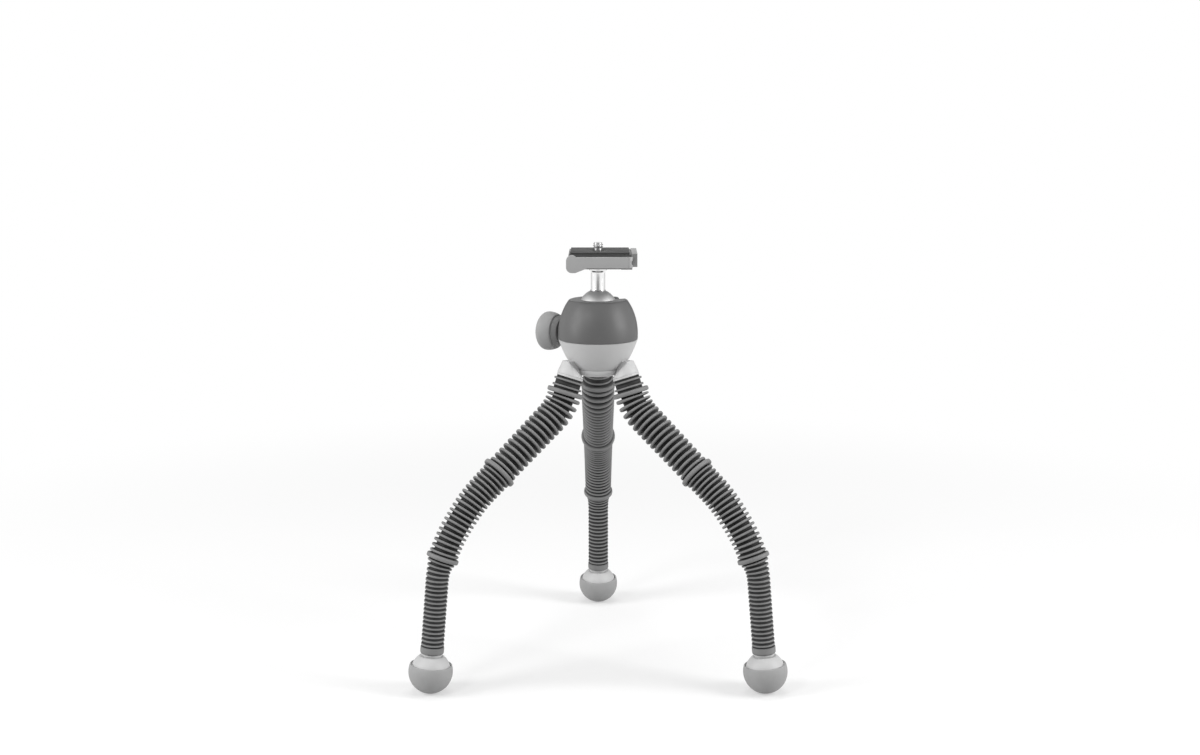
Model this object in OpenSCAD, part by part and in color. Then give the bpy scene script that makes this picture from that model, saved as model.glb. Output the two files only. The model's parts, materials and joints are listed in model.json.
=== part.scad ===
// Flexible leg tripod: a ball head with a quick-release clamp on three ribbed legs that stay as bent.
// Lengths are in millimetres and angles in degrees. +Z is up, and the front looks along -Y.

/* [Legs] */
// Lean of the leg root from the vertical
root_lean = 20; // [16:1:24]
// Distance of the root face from the head axis
root_reach = 20.4; // [19.5:0.1:22]
// Length of the boot at the root, with its ring
boot_length = 11; // [10:0.5:13]
// Length of the upper sleeve, with its ring
upper_length = 66; // [58:1:76]
// Length of the middle sleeve, with its ring
middle_length = 63; // [60:1:74]
// Length of the lower sleeve, with its collar
lower_length = 58.2; // [52:0.1:68]
// Outward bend below the root
upper_bend = 30; // [24:1:34]
// Inward bend at each of the two middle curves
middle_bend = 13.5; // [8:0.5:18]
// Inward bend above the ankle
lower_bend = 17.5; // [12:0.5:20]

/* [Links] */
// Radius of the ball at the end of each link
link_ball = 3.3; // [3:0.1:3.6]
// Wall of the socket around each ball
socket_wall = 0.8; // [0.6:0.1:1]
// Radius of the neck between ball and shank
link_neck = 1.65; // [1.4:0.05:1.8]
// Radius of the shank of each link
link_shank = 2.8; // [2.2:0.1:3.2]

/* [Sleeves] */
// Room between the link sockets and the bore of the sleeves
bore_room = 0.5; // [0.3:0.1:0.8]
// Wall of the sleeves between bore and ribs
sleeve_wall = 1; // [0.8:0.1:1.4]
// Extra wall of the boot
boot_step = 1.2; // [0.8:0.1:1.6]
// Depth of the ribs on the boot
boot_rib_depth = 1.3; // [0.8:0.1:1.8]
// Depth of the ribs at the top of the upper sleeve
upper_rib_depth = 3.9; // [3:0.1:4.4]
// Depth of the ribs where the upper sleeve meets the middle one
middle_rib_depth = 3.1; // [2.4:0.1:3.6]
// Depth of the ribs where the middle sleeve meets the lower one
lower_rib_depth = 2.3; // [1.8:0.1:2.8]
// Depth of the ribs at the ankle
ankle_rib_depth = 0.9; // [0.7:0.1:1.2]
// Number of ribs on the boot
boot_ribs = 2; // [1:1:3]
// Number of ribs on the upper sleeve
upper_ribs = 16; // [12:1:18]
// Number of ribs on the middle sleeve
middle_ribs = 19; // [14:1:22]
// Number of ribs on the lower sleeve
lower_ribs = 20; // [14:1:24]
// Thickness of the ribs on the boot
boot_rib_thick = 1.4; // [1:0.1:1.8]
// Thickness of the ribs on the upper sleeve
upper_rib_thick = 1.9; // [1.4:0.1:2.2]
// Thickness of the ribs on the middle sleeve
middle_rib_thick = 1.4; // [1:0.1:1.7]
// Thickness of the ribs on the lower sleeve
lower_rib_thick = 1.15; // [0.9:0.05:1.4]
// Depth of the rings that end the boot and the upper sleeve, over the sleeve wall
ring_depth = 4.6; // [4:0.1:5]
// Depth of the ring that ends the middle sleeve
small_ring_depth = 3.2; // [2.6:0.1:3.6]
// Thickness of the rings
ring_thick = 3; // [2.4:0.1:3.4]
// Depth of the collar above the foot
collar_depth = 1.1; // [0.9:0.1:1.4]
// Height of the collar above the foot
collar_height = 4.4; // [3.6:0.1:5]

/* [Feet] */
// Radius of the ball foot
foot_radius = 13.6; // [12:0.1:15]
// Distance from the ankle to the middle of the foot
foot_neck = 11.7; // [11:0.1:13]
// Height of the seam above the middle of the foot
foot_seam = 4.5; // [3.5:0.1:5]
// Width of the pad's lip around the cap
foot_lip = 1; // [0.6:0.1:1.4]
// Radius of the plug that holds the pad
plug_radius = 8.5; // [7:0.1:9]

/* [Hub] */
// Radius of the hub where the legs leave it
hub_collar = 8.4; // [8.2:0.1:9]
// Height of the hub arms above the root faces
arm_rise = 10.8; // [9.5:0.1:12]
// Width of the hub arms at their tops
arm_top_width = 7.2; // [6:0.1:8.4]
// Thickness of the hub arms over the bowl
arm_thick = 3.7; // [3.2:0.1:4.2]
// Thickness of the hub under the bowl
hub_floor = 2.7; // [2.5:0.1:3.4]

/* [Housing] */
// Radius of the housing at its seam
housing_radius = 24.9; // [24:0.1:27]
// Depth of the bowl below the seam
bowl_depth = 20.5; // [19.5:0.1:21.5]
// Wall of the bowl
bowl_wall = 2.4; // [1.8:0.1:3]
// Height of the upper shell above the seam
shell_height = 24.9; // [24.4:0.1:26]
// Wall of the upper shell at the seam
shell_wall = 4.5; // [4:0.1:5]

/* [Ball and stem] */
// Radius of the ball
head_ball = 12.1; // [11.8:0.1:12.6]
// Height of the middle of the ball above the seam
ball_rise = 19.2; // [18.8:0.1:20]
// Radius of the stem
stem_radius = 4.4; // [4:0.1:4.8]
// Length of the bare stem between ball and clamp
stem_length = 14.9; // [12:0.1:18]

/* [Lock] */
// Radius of the lock knob where it is widest
knob_radius = 12.3; // [11:0.1:14]
// Depth of the domed cap of the knob
knob_dome = 12.7; // [11:0.1:15]
// Length of the skirt between housing and cap
skirt_length = 3.6; // [3:0.1:5]
// Height of the knob axis above the seam
knob_rise = 2.6; // [2.5:0.1:3.2]
// Radius of the lock screw
lock_radius = 2; // [1.8:0.1:2.2]

/* [Clamp] */
// Reach of the clamp to the left of the stem
clamp_left = 17.5; // [16:0.1:20]
// Reach of the plate channel to the right of the stem
clamp_right = 20.5; // [19:0.1:24]
// Half the depth of the clamp, front to back
clamp_half = 18; // [17:0.1:20]
// Thickness of the clamp floor
clamp_floor = 3.2; // [2.8:0.1:4]
// Height of the dovetail
dovetail_height = 3.5; // [3:0.1:4.5]
// Half the width of the dovetail at the floor
dovetail_half = 14; // [13.5:0.1:14.2]
// Inward slope of the dovetail over its height
dovetail_undercut = 2.2; // [1.6:0.1:2.6]
// Thickness of the plate above the jaws
plate_top = 2.4; // [2:0.1:3]
// Thickness of the rubber pad on the plate
pad_thick = 1; // [0.8:0.1:1.4]
// Radius of the camera screw
camera_radius = 3.175; // [3.1:0.005:3.25]
// Length of the camera screw above the pad
camera_stud = 4.8; // [4:0.1:5.5]
// Thickness of the clamp lever
lever_thick = 4.8; // [4.4:0.1:5.2]
// Height of the clamp lever
lever_height = 6.4; // [6:0.1:7]
// Height of the thumb lobe of the lever
lobe_height = 10.6; // [9.6:0.1:11.4]
// Radius of the lever pin
pin_radius = 0.9; // [0.7:0.05:1]

/* [Hidden] */
$fn = 64;
LEGS = ["left", "right", "rear"];
leg_azimuth = [210, 330, 90];
link_count = 7;
SLEEVES = ["root_boot", "upper_sleeve", "middle_sleeve", "lower_sleeve"];
HEAD_NODES = ["hub", "hub_ball_studs", "hub_bolt", "bowl", "upper_shell", "housing_screws", "ball_seat",
              "brake_shoe", "lock_screw", "knob_skirt", "knob_cap", "head_ball_piece", "stem", "clamp_screw",
              "clamp_base", "clamp_jaw", "clamp_lever", "lever_pin", "plate", "plate_pad", "camera_screw"];
LEG_NODES = [for (leg = LEGS) each concat([for (k = [1 : link_count]) str(leg, "_link_", k)],
                                          [for (sleeve = SLEEVES) str(leg, "_", sleeve)],
                                          [str(leg, "_foot_cap"), str(leg, "_foot_pad")])];

// Clearances: pieces that are fixed to each other, pieces that turn or slide on each other, and free room
seat_gap = 0.03;
running_gap = 0.05;
free_gap = 0.3;
overlap = 0.5;

// Sockets of the links: they wrap past the middle of the ball by an angle
link_gap = 0.1;
socket_wrap = 15;
socket_in = link_ball + link_gap;
socket_out = socket_in + socket_wall;
neck_clear = 0.5;

// The leg as runs of [length, bend]: a run with no bend is straight, and a positive bend goes outwards
upper_arc = 17;
middle_arc = 20;
lower_arc = 12;
middle_lead = 12;
middle_between = 6;
lower_lead = 1;
leg_runs = [
    [boot_length, 0],
    [upper_arc, upper_bend],
    [upper_length - upper_arc + middle_lead, 0],
    [middle_arc, -middle_bend],
    [middle_between, 0],
    [middle_arc, -middle_bend],
    [middle_length - middle_lead - 2 * middle_arc - middle_between + lower_lead, 0],
    [lower_arc, -lower_bend],
    [lower_length - lower_lead - lower_arc + foot_neck, 0]
];
upper_end = boot_length + upper_length;
middle_end = upper_end + middle_length;
ankle = middle_end + lower_length;

// A place on the leg is [distance from the head axis, height over the root face, lean from the vertical]
function on_run(place, length, bend) =
    let(lean = place[2])
    bend == 0
        ? [place[0] + length * sin(lean), place[1] - length * cos(lean), lean]
        : let(turn = bend * PI / 180 / length)
          [place[0] + (cos(lean) - cos(lean + bend)) / turn,
           place[1] - (sin(lean + bend) - sin(lean)) / turn,
           lean + bend];
function leg_at(station, i = 0, place = [root_reach, 0, root_lean]) =
    let(run = leg_runs[i])
    station <= run[0] || i == len(leg_runs) - 1
        ? on_run(place, station, run[1] * station / run[0])
        : leg_at(station - run[0], i + 1, on_run(place, run[0], run[1]));
function run_start(i) = i == 0 ? 0 : run_start(i - 1) + leg_runs[i - 1][0];
function bend_radius(run) = run[0] / (abs(run[1]) * PI / 180);
function bend_corner(i) =
    let(run = leg_runs[i], place = leg_at(run_start(i)))
    concat([for (value = on_run(place, bend_radius(run) * tan(abs(run[1]) / 2), 0)) value], run[1]);
function corner_offset(run) = bend_radius(run) * (1 / cos(run[1] / 2) - 1);

// Joints of the link chain: where the leg bends they sit at the corner of the bend
root_joint = 4;
upper_joint = run_start(2) + leg_runs[2][0] / 2;
ankle_joint = (run_start(8) + ankle) / 2;
function after_bend(i) = let(corner = bend_corner(i)) [corner[0], corner[1], corner[2] + corner[3]];
joints = [leg_at(root_joint), after_bend(1), leg_at(upper_joint), after_bend(3), after_bend(5), after_bend(7),
          leg_at(ankle_joint)];
foot_station = ankle + foot_neck;
foot_place = leg_at(foot_station);
plug_inset = 1.5;
plug_depth = foot_seam - plug_inset;

// Places in the part's frame
root_z = foot_radius - foot_place[1];
head_y = -foot_place[0] / 4;
seam_z = root_z + hub_floor + bowl_depth;

// Radii of the sleeves
bend_room = corner_offset(leg_runs[1]);
lower_room = corner_offset(leg_runs[7]);
sleeve_bore = socket_out + bend_room + bore_room;
lower_bore = socket_out + lower_room + bore_room;
sleeve_root = sleeve_bore + sleeve_wall;
lower_root = lower_bore + sleeve_wall;
boot_root = sleeve_root + boot_step;
taper_share = 0.5;

// Housing curves: the shell is an ellipse, widest a little above the seam, and a small round closes it to its
// flat top. The bowl is a power curve, cut off by its flat bottom
outline_steps = 12;
bowl_cut = 1.8;
bowl_curve = bowl_depth + bowl_cut;
bowl_power = 3.3;
shell_curve = 31.6;
shell_middle = 3;
shell_widest = housing_radius / sqrt(1 - pow(shell_middle / shell_curve, 2));
shoulder_drop = 1;
shoulder_height = shell_height - shoulder_drop;
shoulder_part = (shoulder_height - shell_middle) / shell_curve;
shoulder_lean = atan(shell_widest / shell_curve * shoulder_part / sqrt(1 - pow(shoulder_part, 2)));
rim_round = shoulder_drop / (1 - sin(shoulder_lean));
cavity_radius = housing_radius - shell_wall;
ball_grip = 7;
cavity_height = ball_rise - ball_grip;
ball_gap = 0.25;

// Screws and posts
screw_radius = 1.25;
screw_head = 2.4;
screw_head_height = 2;
screw_sink = 0.4;
screw_grip = 8;
post_radius = 3;
post_reach = cavity_radius - post_radius - overlap;
screw_seat = screw_head_height + screw_sink - bowl_drop(post_reach + screw_head);
bolt_radius = 2;
bolt_head = 4;
bolt_head_height = 1.8;
bolt_grip = 8;
hub_boss = 8;
web_width = arm_top_width - 2 * overlap;
web_rise = 4;
collar_length = 1.6;
collar_step = 0.15;
arm_top_inset = 1;
stud_radius = 2;
stud_length = 4.5;

// Ball seat, brake shoe and lock screw
knob_azimuth = 152;
notch_azimuth = 30;
notch_gap = 0.6;
seat_radius = 7;
seat_base = 2;
seat_lap = 1.7;
shoe_width = 9;
shoe_travel = 1.1;
shoe_gap = 0.15;
lock_collar = 3.6;
lock_collar_length = 1.4;
lock_end = cavity_radius - overlap;
lock_start = lock_end - lock_collar_length;
shoe_start = seat_radius + free_gap;
shoe_end = lock_start - shoe_travel - overlap;
shoe_base = 0.6;
shoe_top = cavity_height - 2 * free_gap;
knob_gap = 0.7;
skirt_start = housing_radius + knob_gap;
cap_start = skirt_start + skirt_length;
skirt_taper = 1.5;
cap_overhang = 0.8;
cap_widest = 6.3;
cap_back = 13;
dome_power = 2.2;
cap_rim = knob_radius * sqrt(1 - pow(cap_widest / cap_back, 2));
lock_into_cap = 7;
lock_tip_gap = 2;

// Stem and clamp screw
journal_radius = 3;
journal_length = 9.8;
stem_seat = sqrt(head_ball * head_ball - stem_radius * stem_radius);
flange_radius = 5.6;
flange_thick = 0.8;
flare_length = 1.8;
clamp_screw_radius = 2;
clamp_screw_grip = 8;
countersink = 2;
clamp_rise = ball_rise + stem_seat + stem_length;

// Clamp: the lever turns on a pin at the right front, and its nose holds the jaw shut
jaw_top = clamp_floor + dovetail_height;
block_length = 6.4;
block_left = clamp_right - block_length;
jaw_right = block_left - free_gap;
jaw_skirt = 2.7;
jaw_base = 0.2;
rod_radius = 1.2;
rod_length = 8;
rod_height = clamp_floor / 2;
rod_spread = 10;
stop_thick = 3.6;
stop_base = 1.7;
stop_drop = 0.5;
plate_gap = 0.2;
plate_base = clamp_floor + running_gap;
plate_shelf = jaw_top + plate_gap;
plate_height = plate_shelf + plate_top;
pad_margin = 1;
pad_height = plate_height + pad_thick;
camera_head = 6;
camera_head_height = 1.5;
camera_head_room = 0.3;
camera_shank = 2.6;
thread_gap = 0.3;
slot_width = 1.6;
slot_depth = 0.8;
lever_gap = 1.3;
lever_base = 1.6;
lever_reach = 0.7;
knuckle_radius = 2.8;
pin_x = clamp_right + lever_reach - knuckle_radius;
pin_y = -clamp_half - free_gap - knuckle_radius;
tongue_half = 1.6;
tongue_base = 3.4;
tongue_thick = 2.3;
nose_x = 11;
nose_width = 3;
nose_margin = 0.8;
lobe_overhang = 1.9;
lobe_left = -clamp_left - lobe_overhang;
lobe_base = -1.4;
lobe_round = 3.4;
lobe_flat = 2.2;
lobe_slope = 7.6;

// Places
module on_leg(i) {
    translate([0, head_y, root_z]) rotate([0, 0, leg_azimuth[i]]) children();
}
module at_place(place) {
    translate([place[0], 0, place[1]]) rotate([0, 180 - place[2], 0]) children();
}
module on_head() {
    translate([0, head_y, seam_z]) children();
}
module on_knob() {
    on_head() rotate([0, 0, knob_azimuth]) translate([0, 0, knob_rise]) rotate([0, 90, 0]) children();
}
module on_clamp() {
    on_head() translate([0, 0, clamp_rise]) children();
}
module three_times() {
    for (azimuth = leg_azimuth) rotate([0, 0, azimuth]) children();
}

// Outlines
function bowl_outline(wall) =
    let(radius = housing_radius - wall, curve = bowl_curve - wall, depth = bowl_depth - wall,
        flat = radius * pow(1 - depth / curve, 1 / bowl_power))
    concat([[0, -depth]],
           [for (i = [0 : outline_steps])
                let(reach = flat + (radius - flat) * i / outline_steps)
                [reach, -curve * (1 - pow(reach / radius, bowl_power))]],
           [[0, 0]]);
function bowl_radius(depth) = housing_radius * pow(1 - depth / bowl_curve, 1 / bowl_power);
function bowl_drop(radius) = bowl_curve * (1 - pow(radius / housing_radius, bowl_power));
function shell_radius(height) = shell_widest * sqrt(1 - pow((height - shell_middle) / shell_curve, 2));
function shell_outline() =
    let(middle = [shell_radius(shoulder_height) - rim_round * cos(shoulder_lean), shell_height - rim_round])
    concat([[0, 0]],
           [for (i = [0 : outline_steps - 1])
                let(height = shoulder_height * i / outline_steps)
                [shell_radius(height), height]],
           [for (i = [0 : outline_steps])
                let(angle = shoulder_lean + (90 - shoulder_lean) * i / outline_steps)
                middle + rim_round * [cos(angle), sin(angle)]],
           [[0, shell_height]]);

// Bands of a sleeve, as [start, end, radius]: a rib for each pitch, then the ring that ends it
function rib_bands(start, end, count, thick, radii, ring, ring_radius) =
    let(pitch = (end - ring - start) / count)
    concat([for (i = [0 : count - 1])
                let(middle = start + pitch * (i + 0.5))
                [middle - thick / 2, middle + thick / 2, radii[i]]],
           [[end - ring, end, ring_radius]]);
function steady(first, last, count) =
    [for (i = [0 : count - 1]) first + (last - first) * i / max(count - 1, 1)];
function fading(first, last, count) = [for (i = [0 : count - 1]) last + (first - last) * pow(taper_share, i)];

// Straight stretch of a sleeve: one lathe with its ribs
module straight_stretch(start, end, ribs, root, bore) {
    last = max(concat([end], [for (rib = ribs) rib[1]]));
    first = min(concat([start], [for (rib = ribs) rib[0]]));
    at_place(leg_at(start))
        rotate_extrude()
            polygon(concat([[bore, first - start], [root, first - start]],
                           [for (rib = ribs) each [[root, rib[0] - start], [rib[2], rib[0] - start],
                                                   [rib[2], rib[1] - start], [root, rib[1] - start]]],
                           [[root, last - start], [bore, last - start]]));
}

// Turned piece of a sleeve around the middle of a bend, between two distances from the start of the bend
module bent_piece(run, from, to, outer, inner) {
    radius = bend_radius(run);
    degrees = abs(run[1]) / run[0];
    rotate([0, 0, run[1] > 0 ? 0 : 180])
        translate([-radius, 0, 0])
            rotate([90, 0, 0])
                rotate_extrude(angle = (to - from) * degrees, start = from * degrees)
                    translate([radius, 0])
                        difference() {
                            circle(r = outer);
                            circle(r = inner);
                        }
}

// Bent stretch of a sleeve: a plain tube that laps over the straight ends, and its ribs
module bent_stretch(run, start, from, to, ribs, root, bore) {
    lap = 0.15;
    at_place(leg_at(start)) {
        bent_piece(run, from - start, to - start, root + lap, bore - lap);
        for (rib = ribs) bent_piece(run, rib[0] - start, rib[1] - start, rib[2], root - lap);
    }
}

// Ribbed sleeve from one place on the leg to another, made run by run
module sleeve(start, end, bands, root, bore) {
    join = 0.3;
    for (i = [0 : len(leg_runs) - 1]) {
        run = leg_runs[i];
        run_from = run_start(i);
        run_to = run_from + run[0];
        from = max(start, run_from);
        to = min(end, run_to);
        ribs = [for (band = bands) let(middle = (band[0] + band[1]) / 2)
                    if (middle > run_from && middle <= run_to) band];
        if (to - from > join)
            if (run[1] == 0)
                straight_stretch(from, to, ribs, root, bore);
            else
                bent_stretch(run, run_from, max(start, run_from - join), min(end, run_to + join), ribs,
                             root, bore);
    }
}

module root_boot() {
    start = seat_gap;
    radii = steady(boot_root + boot_rib_depth, boot_root + boot_rib_depth, boot_ribs);
    color("dimgray")
        sleeve(start, boot_length,
               rib_bands(start, boot_length, boot_ribs, boot_rib_thick, radii, ring_thick,
                         sleeve_root + ring_depth),
               boot_root, sleeve_bore);
}

module upper_sleeve() {
    start = boot_length + seat_gap;
    radii = steady(sleeve_root + upper_rib_depth, sleeve_root + middle_rib_depth, upper_ribs);
    color("dimgray")
        sleeve(start, upper_end,
               rib_bands(start, upper_end, upper_ribs, upper_rib_thick, radii, ring_thick,
                         sleeve_root + ring_depth),
               sleeve_root, sleeve_bore);
}

module middle_sleeve() {
    start = upper_end + seat_gap;
    radii = steady(sleeve_root + middle_rib_depth, sleeve_root + lower_rib_depth, middle_ribs);
    color("dimgray")
        sleeve(start, middle_end,
               rib_bands(start, middle_end, middle_ribs, middle_rib_thick, radii, ring_thick,
                         sleeve_root + small_ring_depth),
               sleeve_root, sleeve_bore);
}

module lower_sleeve() {
    start = middle_end + seat_gap;
    end = ankle - seat_gap;
    radii = fading(lower_root + lower_rib_depth, lower_root + ankle_rib_depth, lower_ribs);
    color("dimgray")
        sleeve(start, end,
               rib_bands(start, end, lower_ribs, lower_rib_thick, radii, collar_height,
                         lower_root + collar_depth),
               lower_root, lower_bore);
}

// Socket of a link, open towards the link above, joined to its shank
module link_socket() {
    difference() {
        union() {
            sphere(r = socket_out);
            children();
        }
        sphere(r = socket_in);
        mouth = socket_in * sin(socket_wrap);
        translate([-socket_out - overlap, -socket_out - overlap, -socket_out - overlap - mouth])
            cube([2 * (socket_out + overlap), 2 * (socket_out + overlap), socket_out + overlap]);
    }
}

// Link from one joint of the leg to the next: socket, shank, neck and ball. The last one ends in the foot
module link(k) {
    from = joints[k - 1];
    is_last = k == link_count;
    to = is_last ? foot_place : joints[k];
    length = norm([to[0] - from[0], to[1] - from[1]]);
    shank_end = is_last ? length : length - socket_out - neck_clear;
    color("lightgray")
        at_place(from) {
            link_socket() cylinder(r = link_shank, h = shank_end);
            if (!is_last) {
                translate([0, 0, shank_end - overlap])
                    cylinder(r = link_neck, h = length - shank_end + overlap);
                translate([0, 0, length]) sphere(r = link_ball);
            }
        }
}

// Cap of a foot: neck, dome and the plug that the pad sits on
module foot_cap() {
    neck = lower_root + collar_depth / 2;
    rim = sqrt(foot_radius * foot_radius - foot_seam * foot_seam) - foot_lip;
    dome_share = 0.8;
    seam = -foot_seam - seat_gap;
    color("gainsboro")
        at_place(foot_place)
            difference() {
                rotate_extrude()
                    polygon(concat([[0, -foot_neck]],
                                   [for (i = [0 : outline_steps])
                                        let(share = i / outline_steps)
                                        [neck + (rim - neck) * pow(share, dome_share),
                                         -foot_neck + (seam + foot_neck) * share]],
                                   [[plug_radius, seam], [plug_radius, plug_depth], [0, plug_depth]]));
                translate([0, 0, -foot_neck - overlap])
                    cylinder(r = link_shank + seat_gap, h = foot_neck + overlap + seat_gap);
            }
}

module foot_pad() {
    pocket_depth = plug_depth + seat_gap;
    color("darkgray")
        at_place(foot_place)
            difference() {
                sphere(r = foot_radius);
                translate([-foot_radius, -foot_radius, -foot_seam - 2 * foot_radius]) cube(2 * foot_radius);
                translate([0, 0, -foot_seam - overlap])
                    cylinder(r = plug_radius + seat_gap, h = pocket_depth + foot_seam + overlap);
            }
}

// Web from the boss to an arm, as [distance, height]: its lower edge stays just above the root face
function web_outline() =
    [[0, 0], [root_reach - free_gap / sin(root_lean), 0], [root_reach, free_gap / cos(root_lean)],
     [root_reach, web_rise], [0, web_rise]];

// Room beside the arms: a layer around the bowl, but for the strap that goes up it
module beside_arm(seam) {
    difference() {
        translate([0, 0, seam]) rotate_extrude() polygon(bowl_outline(-arm_thick));
        translate([0, -arm_top_width / 2, -hub_collar])
            cube([housing_radius + 2 * arm_thick, arm_top_width, arm_rise + 2 * hub_collar]);
    }
}

// Hub: three arms that hold the bowl, with a collar for each leg and a boss for the bolt
module hub() {
    seam = hub_floor + bowl_depth;
    arm_half = arm_top_width / 2 + overlap;
    arm_top = [bowl_radius(seam - arm_rise) - arm_top_inset, -arm_half, arm_rise - overlap];
    color("gainsboro")
        translate([0, head_y, root_z])
            difference() {
                union() {
                    cylinder(r = hub_boss, h = web_rise);
                    three_times() {
                        rotate([90, 0, 0]) linear_extrude(web_width, center = true) polygon(web_outline());
                        at_place(leg_at(0))
                            translate([0, 0, -collar_length]) cylinder(r = hub_collar, h = collar_length);
                        difference() {
                            hull($fn = 32) {
                                at_place(leg_at(0))
                                    translate([0, 0, -collar_length - overlap])
                                        cylinder(r = hub_collar + collar_step, h = 2 * overlap);
                                translate(arm_top) cube([arm_top_inset + arm_thick, 2 * arm_half, overlap]);
                            }
                            beside_arm(seam);
                        }
                    }
                }
                translate([0, 0, seam - seat_gap]) rotate_extrude() polygon(bowl_outline(0));
                three_times()
                    at_place(leg_at(0))
                        translate([0, 0, -stud_length])
                            cylinder(r = stud_radius + seat_gap, h = stud_length + overlap);
                translate([0, 0, -overlap]) {
                    cylinder(r = bolt_radius + seat_gap, h = web_rise);
                    cylinder(r = bolt_head + seat_gap, h = bolt_head_height + overlap + seat_gap);
                }
            }
}

// One ball stud per leg: a shank in the hub, a neck and the ball that the first link sits on
module hub_ball_studs() {
    color("silver")
        translate([0, head_y, root_z])
            three_times()
                at_place(leg_at(0)) {
                    translate([0, 0, -stud_length + seat_gap]) cylinder(r = stud_radius, h = stud_length);
                    cylinder(r = link_neck, h = root_joint);
                    translate([0, 0, root_joint]) sphere(r = link_ball);
                }
}

module hub_bolt() {
    color("silver")
        translate([0, head_y, root_z]) {
            cylinder(r = bolt_head, h = bolt_head_height);
            cylinder(r = bolt_radius, h = hub_floor + bolt_grip);
        }
}

module bowl() {
    floor_depth = bowl_depth - bowl_wall;
    color("darkgray")
        on_head()
            difference() {
                union() {
                    difference() {
                        rotate_extrude() polygon(bowl_outline(0));
                        rotate_extrude() polygon(bowl_outline(bowl_wall));
                    }
                    translate([0, 0, -floor_depth - overlap])
                        cylinder(r = seat_radius, h = floor_depth + overlap + seat_base - seat_gap);
                    intersection() {
                        rotate_extrude() polygon(bowl_outline(0));
                        three_times()
                            translate([post_reach, 0, -bowl_depth]) cylinder(r = post_radius, h = bowl_depth);
                    }
                }
                translate([0, 0, -bowl_depth - overlap])
                    cylinder(r = bolt_radius + seat_gap, h = bolt_grip + 2 * overlap);
                three_times() translate([post_reach, 0, -bowl_depth]) {
                    cylinder(r = screw_radius + seat_gap, h = bowl_depth + overlap);
                    cylinder(r = screw_head + seat_gap, h = screw_seat + bowl_depth);
                }
            }
}

module upper_shell() {
    notch = stem_radius + notch_gap;
    color([0.33, 0.33, 0.34])
        on_head()
            difference() {
                union() {
                    difference() {
                        translate([0, 0, seat_gap]) rotate_extrude() polygon(shell_outline());
                        translate([0, 0, -overlap]) cylinder(r = cavity_radius, h = cavity_height + overlap);
                    }
                    three_times()
                        translate([post_reach, 0, seat_gap])
                            cylinder(r = post_radius, h = cavity_height + overlap);
                }
                translate([0, 0, ball_rise]) sphere(r = head_ball + ball_gap);
                rotate([0, 0, notch_azimuth]) translate([0, 0, ball_rise]) {
                    rotate([0, 90, 0]) cylinder(r = notch, h = housing_radius);
                    translate([0, -notch, 0]) cube([housing_radius, 2 * notch, shell_height]);
                }
                three_times()
                    translate([post_reach, 0, -overlap])
                        cylinder(r = screw_radius + seat_gap, h = screw_grip + 2 * overlap);
                rotate([0, 0, knob_azimuth]) translate([0, 0, knob_rise])
                    rotate([0, 90, 0]) cylinder(r = lock_radius + running_gap, h = housing_radius + overlap);
            }
}

module housing_screws() {
    color("silver")
        on_head()
            three_times()
                translate([post_reach, 0, screw_seat]) {
                    translate([0, 0, -screw_head_height])
                        cylinder(r = screw_radius, h = screw_head_height + screw_grip - screw_seat);
                    translate([0, 0, -screw_head_height - seat_gap])
                        cylinder(r = screw_head, h = screw_head_height);
                }
}

module ball_seat() {
    top = ball_rise - head_ball + seat_lap;
    color("white")
        on_head()
            difference() {
                translate([0, 0, seat_base]) cylinder(r = seat_radius, h = top - seat_base);
                translate([0, 0, ball_rise]) sphere(r = head_ball + running_gap);
            }
}

module brake_shoe() {
    color("white")
        on_head()
            rotate([0, 0, knob_azimuth])
                difference() {
                    translate([shoe_start, -shoe_width / 2, shoe_base])
                        cube([shoe_end - shoe_start, shoe_width, shoe_top - shoe_base]);
                    translate([0, 0, ball_rise]) sphere(r = head_ball + shoe_gap);
                    translate([0, 0, knob_rise]) rotate([0, 90, 0])
                        cylinder(r = lock_radius + running_gap, h = housing_radius);
                }
}

module lock_screw() {
    tip = shoe_start + lock_tip_gap;
    color("silver")
        on_knob() {
            translate([0, 0, tip]) cylinder(r = lock_radius, h = cap_start + lock_into_cap - tip);
            translate([0, 0, lock_start]) cylinder(r = lock_collar, h = lock_collar_length);
        }
}

module knob_skirt() {
    color("dimgray")
        on_knob()
            difference() {
                translate([0, 0, skirt_start])
                    cylinder(r1 = cap_rim - cap_overhang - skirt_taper, r2 = cap_rim - cap_overhang,
                             h = skirt_length - seat_gap);
                cylinder(r = lock_radius + seat_gap, h = cap_start + overlap);
            }
}

// Outline of the cap: it widens from its rim, then a flat dome closes it
function cap_outline() =
    concat([[0, 0]],
           [for (i = [0 : outline_steps - 1])
                let(height = cap_widest * i / outline_steps)
                [knob_radius * sqrt(1 - pow((cap_widest - height) / cap_back, 2)), height]],
           [for (i = [0 : outline_steps])
                let(share = sin(90 * i / outline_steps))
                [knob_radius * pow(1 - pow(share, dome_power), 1 / dome_power),
                 cap_widest + (knob_dome - cap_widest) * share]]);
module knob_cap() {
    color("darkgray")
        on_knob()
            difference() {
                translate([0, 0, cap_start])
                    rotate_extrude() polygon(cap_outline());
                translate([0, 0, cap_start - overlap])
                    cylinder(r = lock_radius + seat_gap, h = lock_into_cap + overlap + seat_gap);
            }
}

module head_ball_piece() {
    color("gray")
        on_head()
            translate([0, 0, ball_rise])
                difference() {
                    sphere(r = head_ball);
                    translate([-head_ball, -head_ball, stem_seat - running_gap]) cube(2 * head_ball);
                    translate([0, 0, stem_seat - journal_length - overlap])
                        cylinder(r = journal_radius + running_gap, h = journal_length + 2 * overlap);
                }
}

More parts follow.
